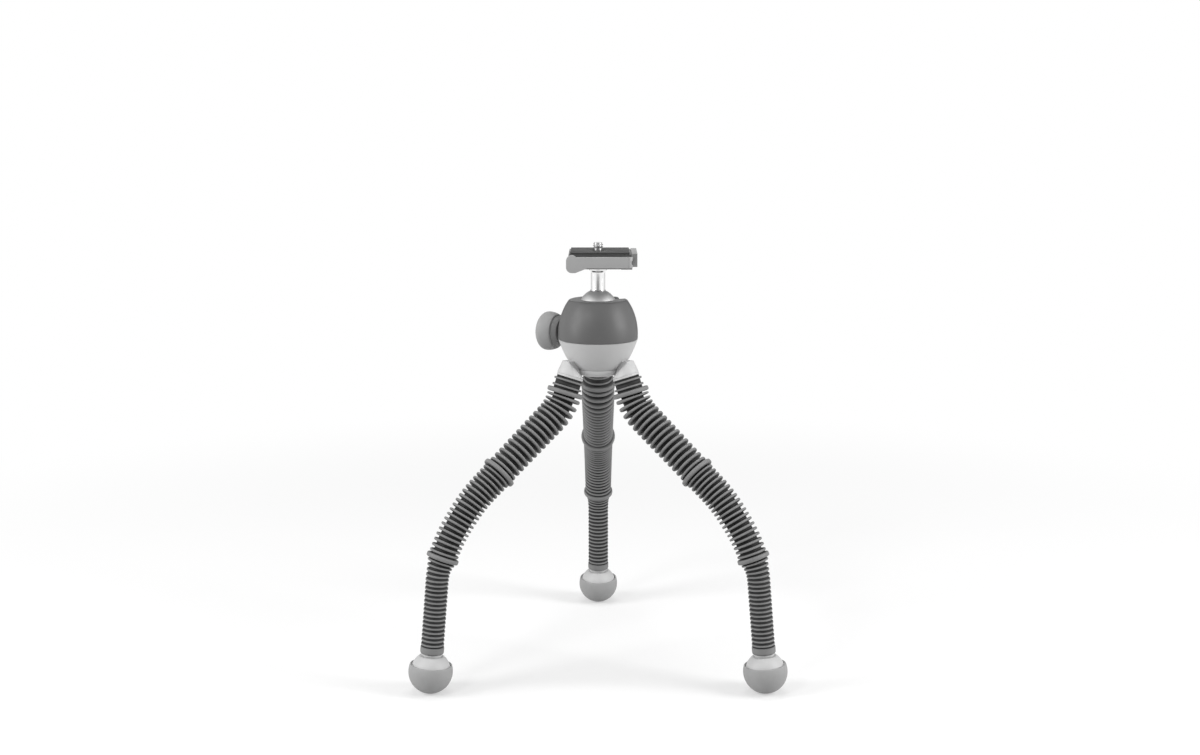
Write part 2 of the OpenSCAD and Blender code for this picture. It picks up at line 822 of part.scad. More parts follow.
module stem() {
    color("whitesmoke")
        on_head()
            translate([0, 0, ball_rise + stem_seat])
                difference() {
                    union() {
                        translate([0, 0, -journal_length])
                            cylinder(r = journal_radius, h = journal_length + overlap);
                        cylinder(r = stem_radius, h = stem_length);
                        translate([0, 0, stem_length - flange_thick - flare_length])
                            cylinder(r1 = stem_radius, r2 = flange_radius, h = flare_length);
                        translate([0, 0, stem_length - flange_thick])
                            cylinder(r = flange_radius, h = flange_thick);
                    }
                    translate([0, 0, stem_length - clamp_screw_grip - overlap])
                        cylinder(r = clamp_screw_radius + seat_gap, h = clamp_screw_grip + 2 * overlap);
                }
}

module clamp_screw() {
    color("silver")
        on_clamp() {
            translate([0, 0, -clamp_screw_grip])
                cylinder(r = clamp_screw_radius, h = clamp_screw_grip + clamp_floor - seat_gap);
            translate([0, 0, clamp_floor - countersink - seat_gap])
                cylinder(r1 = clamp_screw_radius, r2 = clamp_screw_radius + countersink, h = countersink);
        }
}

// Outline of a jaw, from the channel outwards, as [depth, height]
function jaw_outline(base) =
    let(face = dovetail_half + running_gap)
    [[face, base], [clamp_half, base], [clamp_half, jaw_top], [face - dovetail_undercut, jaw_top],
     [face, clamp_floor]];

// Bar along the length of the clamp, from one place to another, with an outline in [depth, height]
module along_clamp(from, to, outline) {
    translate([from, 0, 0]) rotate([90, 0, 90]) linear_extrude(to - from) polygon(outline);
}

// Clamp base: floor, fixed rear jaw, end stop, and the tongue that carries the lever
module clamp_base() {
    floor_front = clamp_half - jaw_skirt - running_gap;
    channel_end = clamp_right + overlap;
    color([0.33, 0.33, 0.34])
        on_clamp()
            difference() {
                union() {
                    translate([-clamp_left, -floor_front, seat_gap])
                        cube([clamp_left + channel_end, floor_front + clamp_half, clamp_floor - seat_gap]);
                    along_clamp(-clamp_left, channel_end, jaw_outline(clamp_floor - overlap));
                    translate([clamp_right, -clamp_half, stop_base])
                        cube([stop_thick, 2 * clamp_half, pad_height - stop_drop - stop_base]);
                    translate([block_left, -clamp_half, seat_gap])
                        cube([channel_end - block_left, clamp_half - dovetail_half - running_gap,
                              jaw_top - seat_gap]);
                    translate([pin_x - tongue_half, pin_y, tongue_base])
                        cube([2 * tongue_half, -clamp_half - pin_y + overlap, tongue_thick]);
                    translate([pin_x, pin_y, tongue_base]) cylinder(r = tongue_half, h = tongue_thick);
                }
                translate([0, 0, -overlap])
                    cylinder(r = clamp_screw_radius + seat_gap, h = clamp_floor + 2 * overlap);
                translate([0, 0, clamp_floor - countersink - seat_gap])
                    cylinder(r1 = clamp_screw_radius + seat_gap,
                             r2 = clamp_screw_radius + countersink + 2 * seat_gap,
                             h = countersink + 2 * seat_gap);
                translate([pin_x, pin_y, 0]) cylinder(r = pin_radius + running_gap, h = jaw_top);
                guide_rods(rod_radius + running_gap, rod_length + overlap);
            }
}

// The two rods that guide the jaw in the floor
module guide_rods(radius, length) {
    middle = (jaw_right - clamp_left) / 2;
    for (side = [-1, 1])
        translate([middle + side * rod_spread, -clamp_half + jaw_skirt - overlap, rod_height])
            rotate([-90, 0, 0]) cylinder(r = radius, h = length + overlap);
}

// Moving front jaw: it hangs over the edge of the floor, and its rods slide in the floor
module clamp_jaw() {
    inner = clamp_half - jaw_skirt;
    face = dovetail_half + running_gap;
    color([0.33, 0.33, 0.34])
        on_clamp()
            union() {
                mirror([0, 1, 0])
                    along_clamp(-clamp_left, jaw_right,
                                [[inner, jaw_base], [clamp_half, jaw_base], [clamp_half, jaw_top],
                                 [face - dovetail_undercut, jaw_top], [face, clamp_floor + running_gap],
                                 [inner, clamp_floor + running_gap]]);
                guide_rods(rod_radius, rod_length);
            }
}

// Lever: a bar along the front with a thumb lobe at its left end, a knuckle on the pin and a nose for the
// jaw. The slot for the tongue is open to the rear and the right, and closed at the front
module clamp_lever() {
    back = -clamp_half - lever_gap;
    lobe_middle = lobe_left + lobe_round;
    lobe_foot = lobe_middle + lobe_flat;
    slot_half = tongue_half + free_gap;
    slot_height = tongue_thick + 2 * running_gap;
    slot_reach = knuckle_radius + overlap;
    color("darkgray")
        on_clamp()
            difference() {
                union() {
                    translate([0, back, 0]) rotate([90, 0, 0]) linear_extrude(lever_thick) {
                        translate([lobe_middle, lever_base]) square([pin_x - lobe_middle, lever_height]);
                        translate([lobe_left, lobe_base + lobe_round])
                            square([2 * lobe_round, lobe_height - 2 * lobe_round]);
                        translate([lobe_middle, lobe_base + lobe_round]) circle(r = lobe_round);
                        translate([lobe_middle, lobe_base + lobe_height - lobe_round]) circle(r = lobe_round);
                        polygon([[lobe_middle, lobe_base], [lobe_foot, lobe_base],
                                 [lobe_foot + lobe_slope, lever_base],
                                 [lobe_foot + lobe_slope, lever_base + lobe_round],
                                 [lobe_middle, lever_base + lobe_round]]);
                    }
                    translate([pin_x, pin_y, lever_base]) cylinder(r = knuckle_radius, h = lever_height);
                    translate([nose_x - nose_width / 2, back - overlap, lever_base + nose_margin])
                        cube([nose_width, lever_gap + overlap - running_gap,
                              jaw_top - lever_base - 2 * nose_margin]);
                }
                translate([pin_x, pin_y, tongue_base - running_gap]) {
                    cylinder(r = slot_half, h = slot_height);
                    translate([-slot_half, 0, 0]) cube([slot_half + slot_reach, slot_reach, slot_height]);
                    translate([0, -slot_half, 0]) cube([slot_reach, slot_half + overlap, slot_height]);
                }
                translate([pin_x, pin_y, 0])
                    cylinder(r = pin_radius + seat_gap, h = lever_base + lever_height + overlap);
            }
}

module lever_pin() {
    color("silver")
        on_clamp()
            translate([pin_x, pin_y, lever_base]) cylinder(r = pin_radius, h = lever_height);
}

// Quick-release plate: a dovetail foot under a flat top
module plate() {
    right = clamp_right - plate_gap / 2;
    top_half = dovetail_half - dovetail_undercut;
    color([0.33, 0.33, 0.34])
        on_clamp()
            difference() {
                union() {
                    along_clamp(-clamp_left, right,
                                [[-dovetail_half, plate_base], [dovetail_half, plate_base],
                                 [top_half, jaw_top], [top_half, plate_shelf + overlap],
                                 [-top_half, plate_shelf + overlap], [-top_half, jaw_top]]);
                    translate([-clamp_left - overlap, -clamp_half, plate_shelf])
                        cube([clamp_left + overlap + right, 2 * clamp_half, plate_top]);
                }
                cylinder(r = camera_radius + running_gap, h = pad_height);
                cylinder(r = camera_head + camera_head_room,
                         h = plate_base + camera_head_height + 2 * running_gap);
            }
}

module plate_pad() {
    left = pad_margin - clamp_left - overlap;
    right = clamp_right - plate_gap / 2 - pad_margin;
    color([0.22, 0.22, 0.22])
        on_clamp()
            difference() {
                translate([left, -clamp_half + pad_margin, plate_height + seat_gap])
                    cube([right - left, 2 * (clamp_half - pad_margin), pad_thick]);
                cylinder(r = camera_radius + free_gap, h = pad_height + overlap);
            }
}

// Camera screw: a slotted head under the plate, a plain shank through it and the thread above the pad
module camera_screw() {
    base = plate_base + running_gap;
    thread_start = pad_height + thread_gap;
    color("silver")
        on_clamp()
            difference() {
                union() {
                    translate([0, 0, base]) cylinder(r = camera_head, h = camera_head_height);
                    translate([0, 0, base]) cylinder(r = camera_shank, h = thread_start + overlap - base);
                    translate([0, 0, thread_start]) cylinder(r = camera_radius, h = camera_stud - thread_gap);
                }
                translate([-camera_head - overlap, -slot_width / 2, plate_base - overlap])
                    cube([2 * (camera_head + overlap), slot_width, slot_depth + overlap]);
            }
}

hub();
hub_ball_studs();
hub_bolt();
bowl();
upper_shell();
housing_screws();
ball_seat();
brake_shoe();
lock_screw();
knob_skirt();
knob_cap();
head_ball_piece();
stem();
clamp_screw();
clamp_base();
clamp_jaw();
clamp_lever();
lever_pin();
plate();
plate_pad();
camera_screw();
for (i = [0 : len(LEGS) - 1]) {
    for (k = [1 : link_count])
        on_leg(i) link(k);
    on_leg(i) root_boot();
    on_leg(i) upper_sleeve();
    on_leg(i) middle_sleeve();
    on_leg(i) lower_sleeve();
    on_leg(i) foot_cap();
    on_leg(i) foot_pad();
}
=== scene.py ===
import json
import math

import bmesh
import bpy
from mathutils import Matrix, Vector

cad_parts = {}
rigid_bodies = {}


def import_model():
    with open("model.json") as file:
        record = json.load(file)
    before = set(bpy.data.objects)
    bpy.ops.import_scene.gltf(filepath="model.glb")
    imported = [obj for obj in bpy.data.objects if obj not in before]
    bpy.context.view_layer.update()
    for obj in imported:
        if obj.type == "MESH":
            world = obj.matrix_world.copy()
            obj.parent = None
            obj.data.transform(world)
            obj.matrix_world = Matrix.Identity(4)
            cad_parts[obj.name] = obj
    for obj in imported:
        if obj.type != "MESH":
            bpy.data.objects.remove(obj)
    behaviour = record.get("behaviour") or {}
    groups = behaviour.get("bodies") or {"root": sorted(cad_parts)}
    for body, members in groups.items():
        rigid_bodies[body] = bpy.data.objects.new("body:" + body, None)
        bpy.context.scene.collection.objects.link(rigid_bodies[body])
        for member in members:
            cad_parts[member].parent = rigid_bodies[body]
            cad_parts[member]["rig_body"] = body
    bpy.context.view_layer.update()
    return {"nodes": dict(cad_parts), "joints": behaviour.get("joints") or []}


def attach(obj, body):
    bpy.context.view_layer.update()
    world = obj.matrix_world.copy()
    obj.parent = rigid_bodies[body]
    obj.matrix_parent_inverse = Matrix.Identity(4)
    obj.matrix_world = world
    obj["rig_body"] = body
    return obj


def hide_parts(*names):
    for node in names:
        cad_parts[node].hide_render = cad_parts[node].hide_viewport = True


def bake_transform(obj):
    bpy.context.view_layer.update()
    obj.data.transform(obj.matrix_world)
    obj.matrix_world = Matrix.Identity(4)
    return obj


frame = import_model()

MM = 0.001
IN_METRES = Matrix.Scale(MM, 4)
JOINTS = {joint["name"]: joint for joint in frame["joints"]}
LEGS = {"left": 210, "right": 330, "rear": 90}

# Sizes are in millimetres and degrees, and the main ones are the same as in the solids
SEAT_GAP = 0.03

# Bowl and shell
HOUSING_RADIUS = 24.9
HOUSING_SIDES = 128
SEAM_CHAMFER = 0.3
BOWL_DEPTH = 20.5
BOWL_CURVE = 22.3
BOWL_POWER = 3.3
BOWL_SEAM_INSET = 0.06
SHELL_HEIGHT = 24.9
SHELL_CURVE = 31.6
SHELL_MIDDLE = 3
SHELL_WIDEST = HOUSING_RADIUS / math.sqrt(1 - (SHELL_MIDDLE / SHELL_CURVE) ** 2)
SHELL_SEAM_GAP = 0.06
SHELL_EASE = 0.55
SHOULDER_DROP = 1
NOTCH_AZIMUTH = 30
NOTCH_GAP = 0.6

# Ball and stem
BALL_RADIUS = 12.1
BALL_RISE = 19.2
BALL_GAP = 0.25
STEM_RADIUS = 4.4
STEM_LENGTH = 14.9
STEM_SEAT = math.sqrt(BALL_RADIUS ** 2 - STEM_RADIUS ** 2)
STEM_GAP = 0.02
BEAD_RADIUS = STEM_RADIUS + 0.5
BEAD_TOP = 0.25
BEAD_END = 0.6
FLARE_RADIUS = 5.4
FLARE_START = STEM_LENGTH - 3.4
FLARE_END = STEM_LENGTH - 2.1
FLANGE_RADIUS = 5.6
FLANGE_BASE = STEM_LENGTH - 0.75
FLANGE_STEP = 0.1

# Knob, along its axis out from the head's
KNOB_AZIMUTH = 152
KNOB_RISE = 2.6
KNOB_RADIUS = 12.3
KNOB_DOME = 12.7
KNOB_GAP = 0.7
DOME_POWER = 2.2
CAP_WIDEST = 6.3
CAP_BACK = 13
CAP_OVERHANG = 0.8
CAP_GAP = 0.05
SKIRT_LENGTH = 3.6
SKIRT_TAPER = 1.5
SKIRT_WAIST = 0.6
WAIST_HEIGHT = 2
RIM_INSET = 0.45
RIM_EDGE = 0.1
RIM_HEIGHT = 0.12

# Hub
HUB_FLOOR = 2.7
HUB_COLLAR = 8.4
COLLAR_LENGTH = 1.6
COLLAR_STEP = 0.15
COLLAR_LAP = 0.3
GROOVE_DEPTH = 0.25
GROOVE_WIDTH = 0.25
GROOVE_EDGE = 0.35
ARM_RISE = 10.8
ARM_WIDTH = 7.2
ARM_THICK = 3.7
ARM_FOOT = 1.5
ARM_SPARE = 0.5
ARM_SINK = 1
ARM_EASE = 0.3
BOLT_ROOM = 4.06
BOLT_DEPTH = 1.86
DISH_FLOOR = 2.62

# Legs. A station is a length down the middle of a leg from the hub
ROOT_REACH = 20.4
ROOT_LEAN = 20
# Each run of a leg: its length, and how far it bends outwards
LEG_RUNS = [(11, 0), (17, 30), (61, 0), (20, -13.5), (6, 0), (20, -13.5), (6, 0), (12, -17.5), (56.9, 0)]
FOOT_STATION = sum(length for length, bend in LEG_RUNS)
BOOT_END = 11
UPPER_END = 77
MIDDLE_END = 140
ANKLE = 198.2

# Feet, with heights down the leg from the middle of the ball
FOOT_RADIUS = 13.6
FOOT_SEAM = 4.5
NECK_TOP = -11.6
NECK_RADIUS = 6.5
NECK_LENGTH = 1
NECK_GROOVE = 5.7
GROOVE_LAP = 0.1
DOME_INSET = 1.3
DOME_TOP = -9.9
DOME_END = -3.8
DOME_START = 6.9
PAD_TOP = -3.6
PAD_RADIUS = 11.9
LIP_INNER = 11.95
LIP_OUTER = 12.85

# Camera screw
THREAD_RADIUS = 3.175
THREAD_CORE = 2.55
THREAD_PITCH = 1.27
THREAD_INSET = 0.55

# Places in the frame
HEAD_Y = JOINTS["head_tilt"]["pos_m"][1] / MM
BALL_Z = JOINTS["head_tilt"]["pos_m"][2] / MM
SEAM_Z = BALL_Z - BALL_RISE
ROOT_Z = SEAM_Z - BOWL_DEPTH - HUB_FLOOR


class Socket:
    """An output of a node. Arithmetic on it adds Math nodes to its tree."""

    def __init__(self, tree, socket):
        self.tree, self.socket = tree, socket

    def also(self, name):
        """Another output of the same node."""
        return Socket(self.tree, self.socket.node.outputs[name])

    def math(self, operation, *values):
        return self.tree.node("ShaderNodeMath", {"operation": operation}, dict(enumerate(values)))

    def __add__(self, other):
        return self.math("ADD", self, other)

    def __radd__(self, other):
        return self.math("ADD", other, self)

    def __sub__(self, other):
        return self.math("SUBTRACT", self, other)

    def __rsub__(self, other):
        return self.math("SUBTRACT", other, self)

    def __mul__(self, other):
        return self.math("MULTIPLY", self, other)

    def __rmul__(self, other):
        return self.math("MULTIPLY", other, self)

    def __truediv__(self, other):
        return self.math("DIVIDE", self, other)

    def __rtruediv__(self, other):
        return self.math("DIVIDE", other, self)

    def __pow__(self, other):
        return self.math("POWER", self, other)

    def __gt__(self, other):
        return self.math("GREATER_THAN", self, other)

    def __lt__(self, other):
        return self.math("LESS_THAN", self, other)

    def __abs__(self):
        return self.math("ABSOLUTE", self)


class Tree:
    """A node tree, of a material, of the surround or of geometry."""

    def __init__(self, tree):
        self.tree = tree

    def node(self, kind, settings=None, inputs=None, output=0):
        """A node of a kind, with its settings and then its inputs, as values or links."""
        made = self.tree.nodes.new(kind)
        for name, value in (settings or {}).items():
            setattr(made, name, value)
        for name, value in (inputs or {}).items():
            if isinstance(value, Socket):
                self.tree.links.new(value.socket, made.inputs[name])
            else:
                made.inputs[name].default_value = value
        return Socket(self, made.outputs[output]) if made.outputs else made

    def mix(self, share, first, second):
        """A colour between two colours."""
        return self.node("ShaderNodeMix", {"data_type": "RGBA"}, {0: share, 6: first, 7: second}, 2)

    def vector(self, operation, *values):
        return self.node("ShaderNodeVectorMath", {"operation": operation}, dict(enumerate(values)))

    def scaled(self, vector, share):
        """A vector times a number."""
        return self.node("ShaderNodeVectorMath", {"operation": "SCALE"}, {0: vector, "Scale": share})

    def place(self):
        """Where a point lies in the part's frame."""
        return self.node("ShaderNodeTexCoord", None, None, "Object")

    def noise(self, place, scale, detail=3):
        """Noise from 0 to 1, with features of about 1/scale metres."""
        return self.node("ShaderNodeTexNoise", None, {"Vector": place, "Scale": scale, "Detail": detail})

    def bump(self, strength, depth, height):
        """A fine relief with a depth in millimetres."""
        sizes = {"Strength": strength, "Distance": depth * MM, "Height": height}
        return self.node("ShaderNodeBump", None, sizes)


def grey(shade):
    """A grey as a colour."""
    return (shade, shade, shade, 1)


# Finishes

def finish(name):
    """A new material and its empty tree."""
    material = bpy.data.materials.new(name)
    material.use_nodes = True
    material.node_tree.nodes.clear()
    return material, Tree(material.node_tree)


def close_finish(tree, values):
    """The shader of a material, with its values, linked to the surface."""
    shader = tree.node("ShaderNodeBsdfPrincipled", None, values)
    tree.node("ShaderNodeOutputMaterial", None, {"Surface": shader})


def moulded(name, shade, rough, painted_shade=None):
    """Moulded plastic with slow mottling, a fine grain, a rubbed gloss, and a darker grey painted as shade
    on any marked faces.
    """
    mottle, gloss = 0.07, 0.16
    material, tree = finish(name)
    place = tree.place()
    slow, fine, rubbed = tree.noise(place, 45), tree.noise(place, 1500, 2), tree.noise(place, 160, 4)
    colour = tree.mix(slow * 0.7 + fine * 0.3, grey(shade * (1 - mottle)), grey(shade * (1 + mottle)))
    if painted_shade:
        # Marked faces take a darker grey: painted shade, standing in for the shade that falls on them.
        shade_mask = tree.node("ShaderNodeAttribute", {"attribute_name": "painted_shade"}, None, "Fac")
        colour = tree.mix(shade_mask, colour, grey(painted_shade))
    close_finish(tree, {"Base Color": colour, "Roughness": rubbed * gloss + (rough - gloss / 2),
                        "Normal": tree.bump(0.35, 0.02, fine), "IOR": 1.48})
    return material


def soft_rubber(name, shade, rough):
    """Matt rubber with a fine skin, faint dust and small scuffs."""
    gloss = 0.14
    material, tree = finish(name)
    place = tree.place()
    dust, skin = tree.noise(place, 90, 5), tree.noise(place, 2600, 2)
    scuff = tree.noise(place, 420, 6) ** 4
    colour = tree.mix(dust * 0.6 + scuff * 0.5, grey(shade * 0.86), grey(shade * 1.2))
    close_finish(tree, {"Base Color": colour, "Roughness": dust * gloss + (rough - gloss / 2),
                        "Normal": tree.bump(0.4, 0.03, skin + scuff), "Specular IOR Level": 0.4})
    return material


def ribbed_rubber(name, groove, rim, rough):
    """Rubber of the sleeves: painted shade darkens it down into the grooves, and the rims of the ribs keep
    a lighter grey, mottled by rubbing.
    """
    material, tree = finish(name)
    place = tree.place()
    rise = tree.node("ShaderNodeAttribute", {"attribute_name": "rise"}, None, "Fac")
    dust, skin = tree.noise(place, 120, 5), tree.noise(place, 2200, 2)
    # The share of the rims' grey falls with the height over the root, so the dark grey of the grooves is
    # painted shade; the noise adds rubbed wear on the rims.
    rubbed = rise ** 2.4 * (dust * 0.35 + 0.8)
    colour = tree.mix(rubbed, grey(groove), grey(rim))
    close_finish(tree, {"Base Color": colour, "Roughness": (rough + 0.12) - rise * 0.14 + dust * 0.05,
                        "Normal": tree.bump(0.35, 0.025, skin), "Specular IOR Level": 0.45})
    return material


def metal(name, shade, rough, brushed=None, scale=500, metallic=1.0):
    """Metal with a fine grain, drawn out along the brushed way if one is given, and faint stains."""
    grain_gloss, stain_gloss = 0.12, 0.06
    material, tree = finish(name)
    place = tree.place()
    stain = tree.noise(place, 70, 4)
    grain = tree.noise(tree.vector("MULTIPLY", place, brushed) if brushed else place, scale)
    colour = tree.mix(stain * 0.5 + grain * 0.5, grey(shade * 0.92), grey(min(shade * 1.06, 1)))
    gloss = grain * grain_gloss + stain * stain_gloss
    close_finish(tree, {"Base Color": colour, "Metallic": metallic, "Normal": tree.bump(0.2, 0.012, grain),
                        "Roughness": gloss + (rough - (grain_gloss + stain_gloss) / 2)})
    return material


ALONG_CLAMP, ALONG_SCREW = (0.08, 1, 1), (1, 1, 12)
SHELL = moulded("dark_shell_plastic", 0.115, 0.46)
BOWL = moulded("light_bowl_plastic", 0.57, 0.46)
# The hub's arms get a darker grey, 0.56, painted as shade on their flat sides.
HUB = moulded("pale_hub_plastic", 0.66, 0.45, painted_shade=0.56)
CAP = moulded("pale_foot_plastic", 0.58, 0.45)
KNOB_CAP = soft_rubber("knob_soft_touch", 0.38, 0.58)
KNOB_SKIRT = moulded("dark_skirt_plastic", 0.2, 0.5)
# For the sleeves, 0.014 is the painted shade of the grooves and 0.23 the grey of the rims.
SLEEVE = ribbed_rubber("sleeve_rubber", 0.014, 0.23, 0.55)
FOOT_PAD = soft_rubber("foot_rubber", 0.38, 0.6)
BALL = metal("blasted_ball_metal", 0.46, 0.56, scale=1400)
CHROME = metal("bright_chrome", 0.86, 0.14, scale=300)
STEEL = metal("plated_steel", 0.55, 0.3, ALONG_SCREW)
CLAMP = metal("dark_anodised_metal", 0.27, 0.42, ALONG_CLAMP, scale=900, metallic=0.6)
PLATE = metal("plate_anodised_metal", 0.10, 0.4, ALONG_CLAMP, scale=900, metallic=0.6)
LEVER = moulded("lever_plastic", 0.4, 0.4)
PLATE_PAD = soft_rubber("plate_rubber", 0.035, 0.68)
LINK = moulded("link_plastic", 0.5, 0.5)
BEARING = moulded("bearing_plastic", 0.75, 0.42)


# Making pieces

def to_object(name, mesh, material, body=None, stands_for=()):
    """A finished mesh as a piece that rides on a body and stands for solids."""
    piece = bpy.data.objects.new(name, mesh)
    mesh.name = name
    bpy.context.scene.collection.objects.link(piece)
    if material:
        mesh.materials.clear()
        mesh.materials.append(material)
    if body:
        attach(piece, body)
    if stands_for:
        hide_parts(*stands_for)
    return piece


def spaced(start, end, steps):
    """Even steps from one number to another, with both of them."""
    return [start + (end - start) * i / steps for i in range(steps + 1)]


def smooth(mesh, angle=38):
    mesh.shade_smooth()
    mesh.set_sharp_from_angle(angle=math.radians(angle))
    return mesh


def to_mesh(bm, place=None):
    """The mesh of a shape with its faces outwards, put in its place if one is given."""
    bmesh.ops.recalc_face_normals(bm, faces=bm.faces)
    if place:
        bm.transform(place)
    mesh = bpy.data.meshes.new("shape")
    bm.to_mesh(mesh)
    bm.free()
    return mesh


def rounded(corners):
    """An outline from [radius, height] corners, with a third number where a corner is rounded."""
    steps, most = 6, 0.49
    outline = []
    for i, corner in enumerate(corners):
        point = Vector(corner[:2])
        if len(corner) < 3 or i in (0, len(corners) - 1):
            outline.append(point)
            continue
        back, ahead = Vector(corners[i - 1][:2]) - point, Vector(corners[i + 1][:2]) - point
        reach = min(corner[2], most * back.length, most * ahead.length)
        start, end = point + back.normalized() * reach, point + ahead.normalized() * reach
        for t in spaced(0, 1, steps):
            outline.append((1 - t) ** 2 * start + 2 * t * (1 - t) * point + t * t * end)
    return outline


def ball_outline(radius, end, steps):
    """The outline of a ball, from its lowest point round to an angle in radians."""
    return [[radius * math.sin(a), -radius * math.cos(a)] for a in spaced(0, end, steps)]


def turned(outline, place, sides=96):
    """A mesh turned on a lathe from [radius, height] points, and put in its place."""
    on_axis, same_point = 1e-6, 1e-4
    bm = bmesh.new()
    rings = []
    for radius, height in map(Vector, outline):
        if radius < on_axis:
            rings.append([bm.verts.new((0, 0, height))])
        else:
            rings.append([bm.verts.new((radius * math.cos(a), radius * math.sin(a), height))
                          for a in spaced(0, math.tau, sides)[:-1]])
    for first, second in zip(rings, rings[1:]):
        for i in range(sides):
            corners = [first[i % len(first)], first[(i + 1) % len(first)],
                       second[(i + 1) % len(second)], second[i % len(second)]]
            corners = list(dict.fromkeys(corners))
            if len(corners) > 2:
                bm.faces.new(corners)
    bmesh.ops.remove_doubles(bm, verts=bm.verts, dist=same_point)
    return smooth(to_mesh(bm, IN_METRES @ place))


def plain(mesh, modifiers):
    """The mesh with its modifiers worked in. Each is a kind and its settings."""
    maker = bpy.data.objects.new("maker", mesh)
    bpy.context.scene.collection.objects.link(maker)
    for kind, settings in modifiers:
        modifier = maker.modifiers.new(kind.lower(), kind)
        for name, value in settings.items():
            setattr(modifier, name, value)
    made = bpy.data.meshes.new_from_object(maker.evaluated_get(bpy.context.evaluated_depsgraph_get()))
    bpy.data.objects.remove(maker)
    return made


def solid_of(node):
    """A merged copy of a solid's mesh, with its flat faces whole."""
    same_point, flat_angle = 1e-6, math.radians(1)
    bm = bmesh.new()
    bm.from_mesh(frame["nodes"][node].data)
    bmesh.ops.remove_doubles(bm, verts=bm.verts, dist=same_point)
    bmesh.ops.dissolve_limit(bm, angle_limit=flat_angle, verts=bm.verts, edges=bm.edges)
    mesh = bpy.data.meshes.new(node)
    bm.to_mesh(mesh)
    bm.free()
    return mesh


def softened(node, material, width, segments=3):
    """A solid with its edges eased, as a piece that stands for it."""
    bevel = {"width": width * MM, "segments": segments, "limit_method": "ANGLE",
             "angle_limit": math.radians(30), "miter_outer": "MITER_ARC", "harden_normals": False}
    mesh = smooth(plain(solid_of(node), [("BEVEL", bevel)]))
    return to_object(node + "_eased", mesh, material, frame["nodes"][node]["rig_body"], [node])


def joined(meshes, place=None):
    """One mesh from several, put in its place if one is given."""
    bm = bmesh.new()
    for mesh in meshes:
        bm.from_mesh(mesh)
    return to_mesh(bm, place)


def block(low, high):
    """A box between two corners."""
    bm = bmesh.new()
    bmesh.ops.create_cube(bm, size=1)
    bm.transform(Matrix.LocRotScale((Vector(low) + Vector(high)) / 2, None, Vector(high) - Vector(low)))
    return to_mesh(bm, IN_METRES)


def cut(mesh, cutters, ease=0):
    """A mesh less some others, with its sharp edges eased by a width if one is given."""
    items = [bpy.data.objects.new("cutter", cutter) for cutter in cutters]
    for item in items:
        bpy.context.scene.collection.objects.link(item)
    steps = [("BOOLEAN", {"operation": "DIFFERENCE", "object": item, "solver": "EXACT"}) for item in items]
    if ease:
        steps.append(("BEVEL", {"width": ease * MM, "segments": 3, "limit_method": "ANGLE",
                                "angle_limit": math.radians(40)}))
    made = plain(mesh, steps)
    for item in items:
        bpy.data.objects.remove(item)
    return made


def skinned(rings):
    """A mesh over rings of as many points each, closed by a fan at both ends."""
    sides = len(rings[0])
    points = [point for ring in rings for point in ring]
    faces = []
    for start in range(0, (len(rings) - 1) * sides, sides):
        for i in range(sides):
            k = (i + 1) % sides
            faces.append((start + i, start + k, start + sides + k, start + sides + i))
    for ring in (0, len(rings) - 1):
        points.append(sum(rings[ring], Vector()) / sides)
        faces += [(ring * sides + i, ring * sides + (i + 1) % sides, len(points) - 1) for i in range(sides)]
    mesh = bpy.data.meshes.new("skinned")
    mesh.from_pydata(points, [], faces)
    return mesh


# Legs

def leg_place(station):
    """Distance from the head axis, height over the root and lean in radians at a place on the leg."""
    distance, height, lean = ROOT_REACH, 0.0, math.radians(ROOT_LEAN)
    for length, bend in LEG_RUNS:
        part = min(station, length)
        turn = math.radians(bend) * part / length
        if bend:
            radius = part / turn if turn else 0
            distance += radius * (math.cos(lean) - math.cos(lean + turn))
            height -= radius * (math.sin(lean + turn) - math.sin(lean))
        else:
            distance += part * math.sin(lean)
            height -= part * math.cos(lean)
        lean += turn
        station -= part
        if station <= 0:
            break
    return distance, height, lean


def leg_point(leg, station):
    """A place on the middle of a leg, in metres."""
    distance, height = leg_place(station)[:2]
    azimuth = math.radians(LEGS[leg])
    x, y = distance * math.cos(azimuth), distance * math.sin(azimuth)
    return Vector((x, y + HEAD_Y, height + ROOT_Z)) * MM


def leg_matrix(leg, station):
    """From a lathe with its axis down the leg to the part's frame."""
    place = Matrix.Translation(leg_point(leg, station) / MM)
    around = Matrix.Rotation(math.radians(LEGS[leg]), 4, "Z")
    down = Matrix.Rotation(math.pi - leg_place(station)[2], 4, "Y")
    return place @ around @ down


def centre_line(leg):
    """The middle of a leg as a curve object, with four points to a millimetre."""
    curve = bpy.data.curves.new(leg + "_middle", "CURVE")
    curve.dimensions = "3D"
    spline = curve.splines.new("POLY")
    stations = spaced(0, FOOT_STATION, round(FOOT_STATION * 4))
    spline.points.add(len(stations) - 1)
    for point, station in zip(spline.points, stations):
        point.co = (*leg_point(leg, station), 1)
    line = bpy.data.objects.new(leg + "_middle", curve)
    bpy.context.scene.collection.objects.link(line)
    return line


RIB_STEPS, BORE_RINGS, SLEEVE_SIDES = 11, 28, 72
RIB_ROUNDING, RING_ROUNDING = 0.56, 0.42
SLEEVE_INPUTS = {
    "Centre line": "Object", "Sideways": "Vector", "Start": "Float", "End": "Float", "First rib": "Float",
    "Pitch": "Float", "Ribs": "Int", "Rib thickness": "Float", "First depth": "Float",
    "Last depth": "Float", "Fade": "Float", "Root radius": "Float", "Bore radius": "Float", "Rings": "Int",
    "Ring thickness": "Float", "Ring depth": "Float", "Material": "Material"}


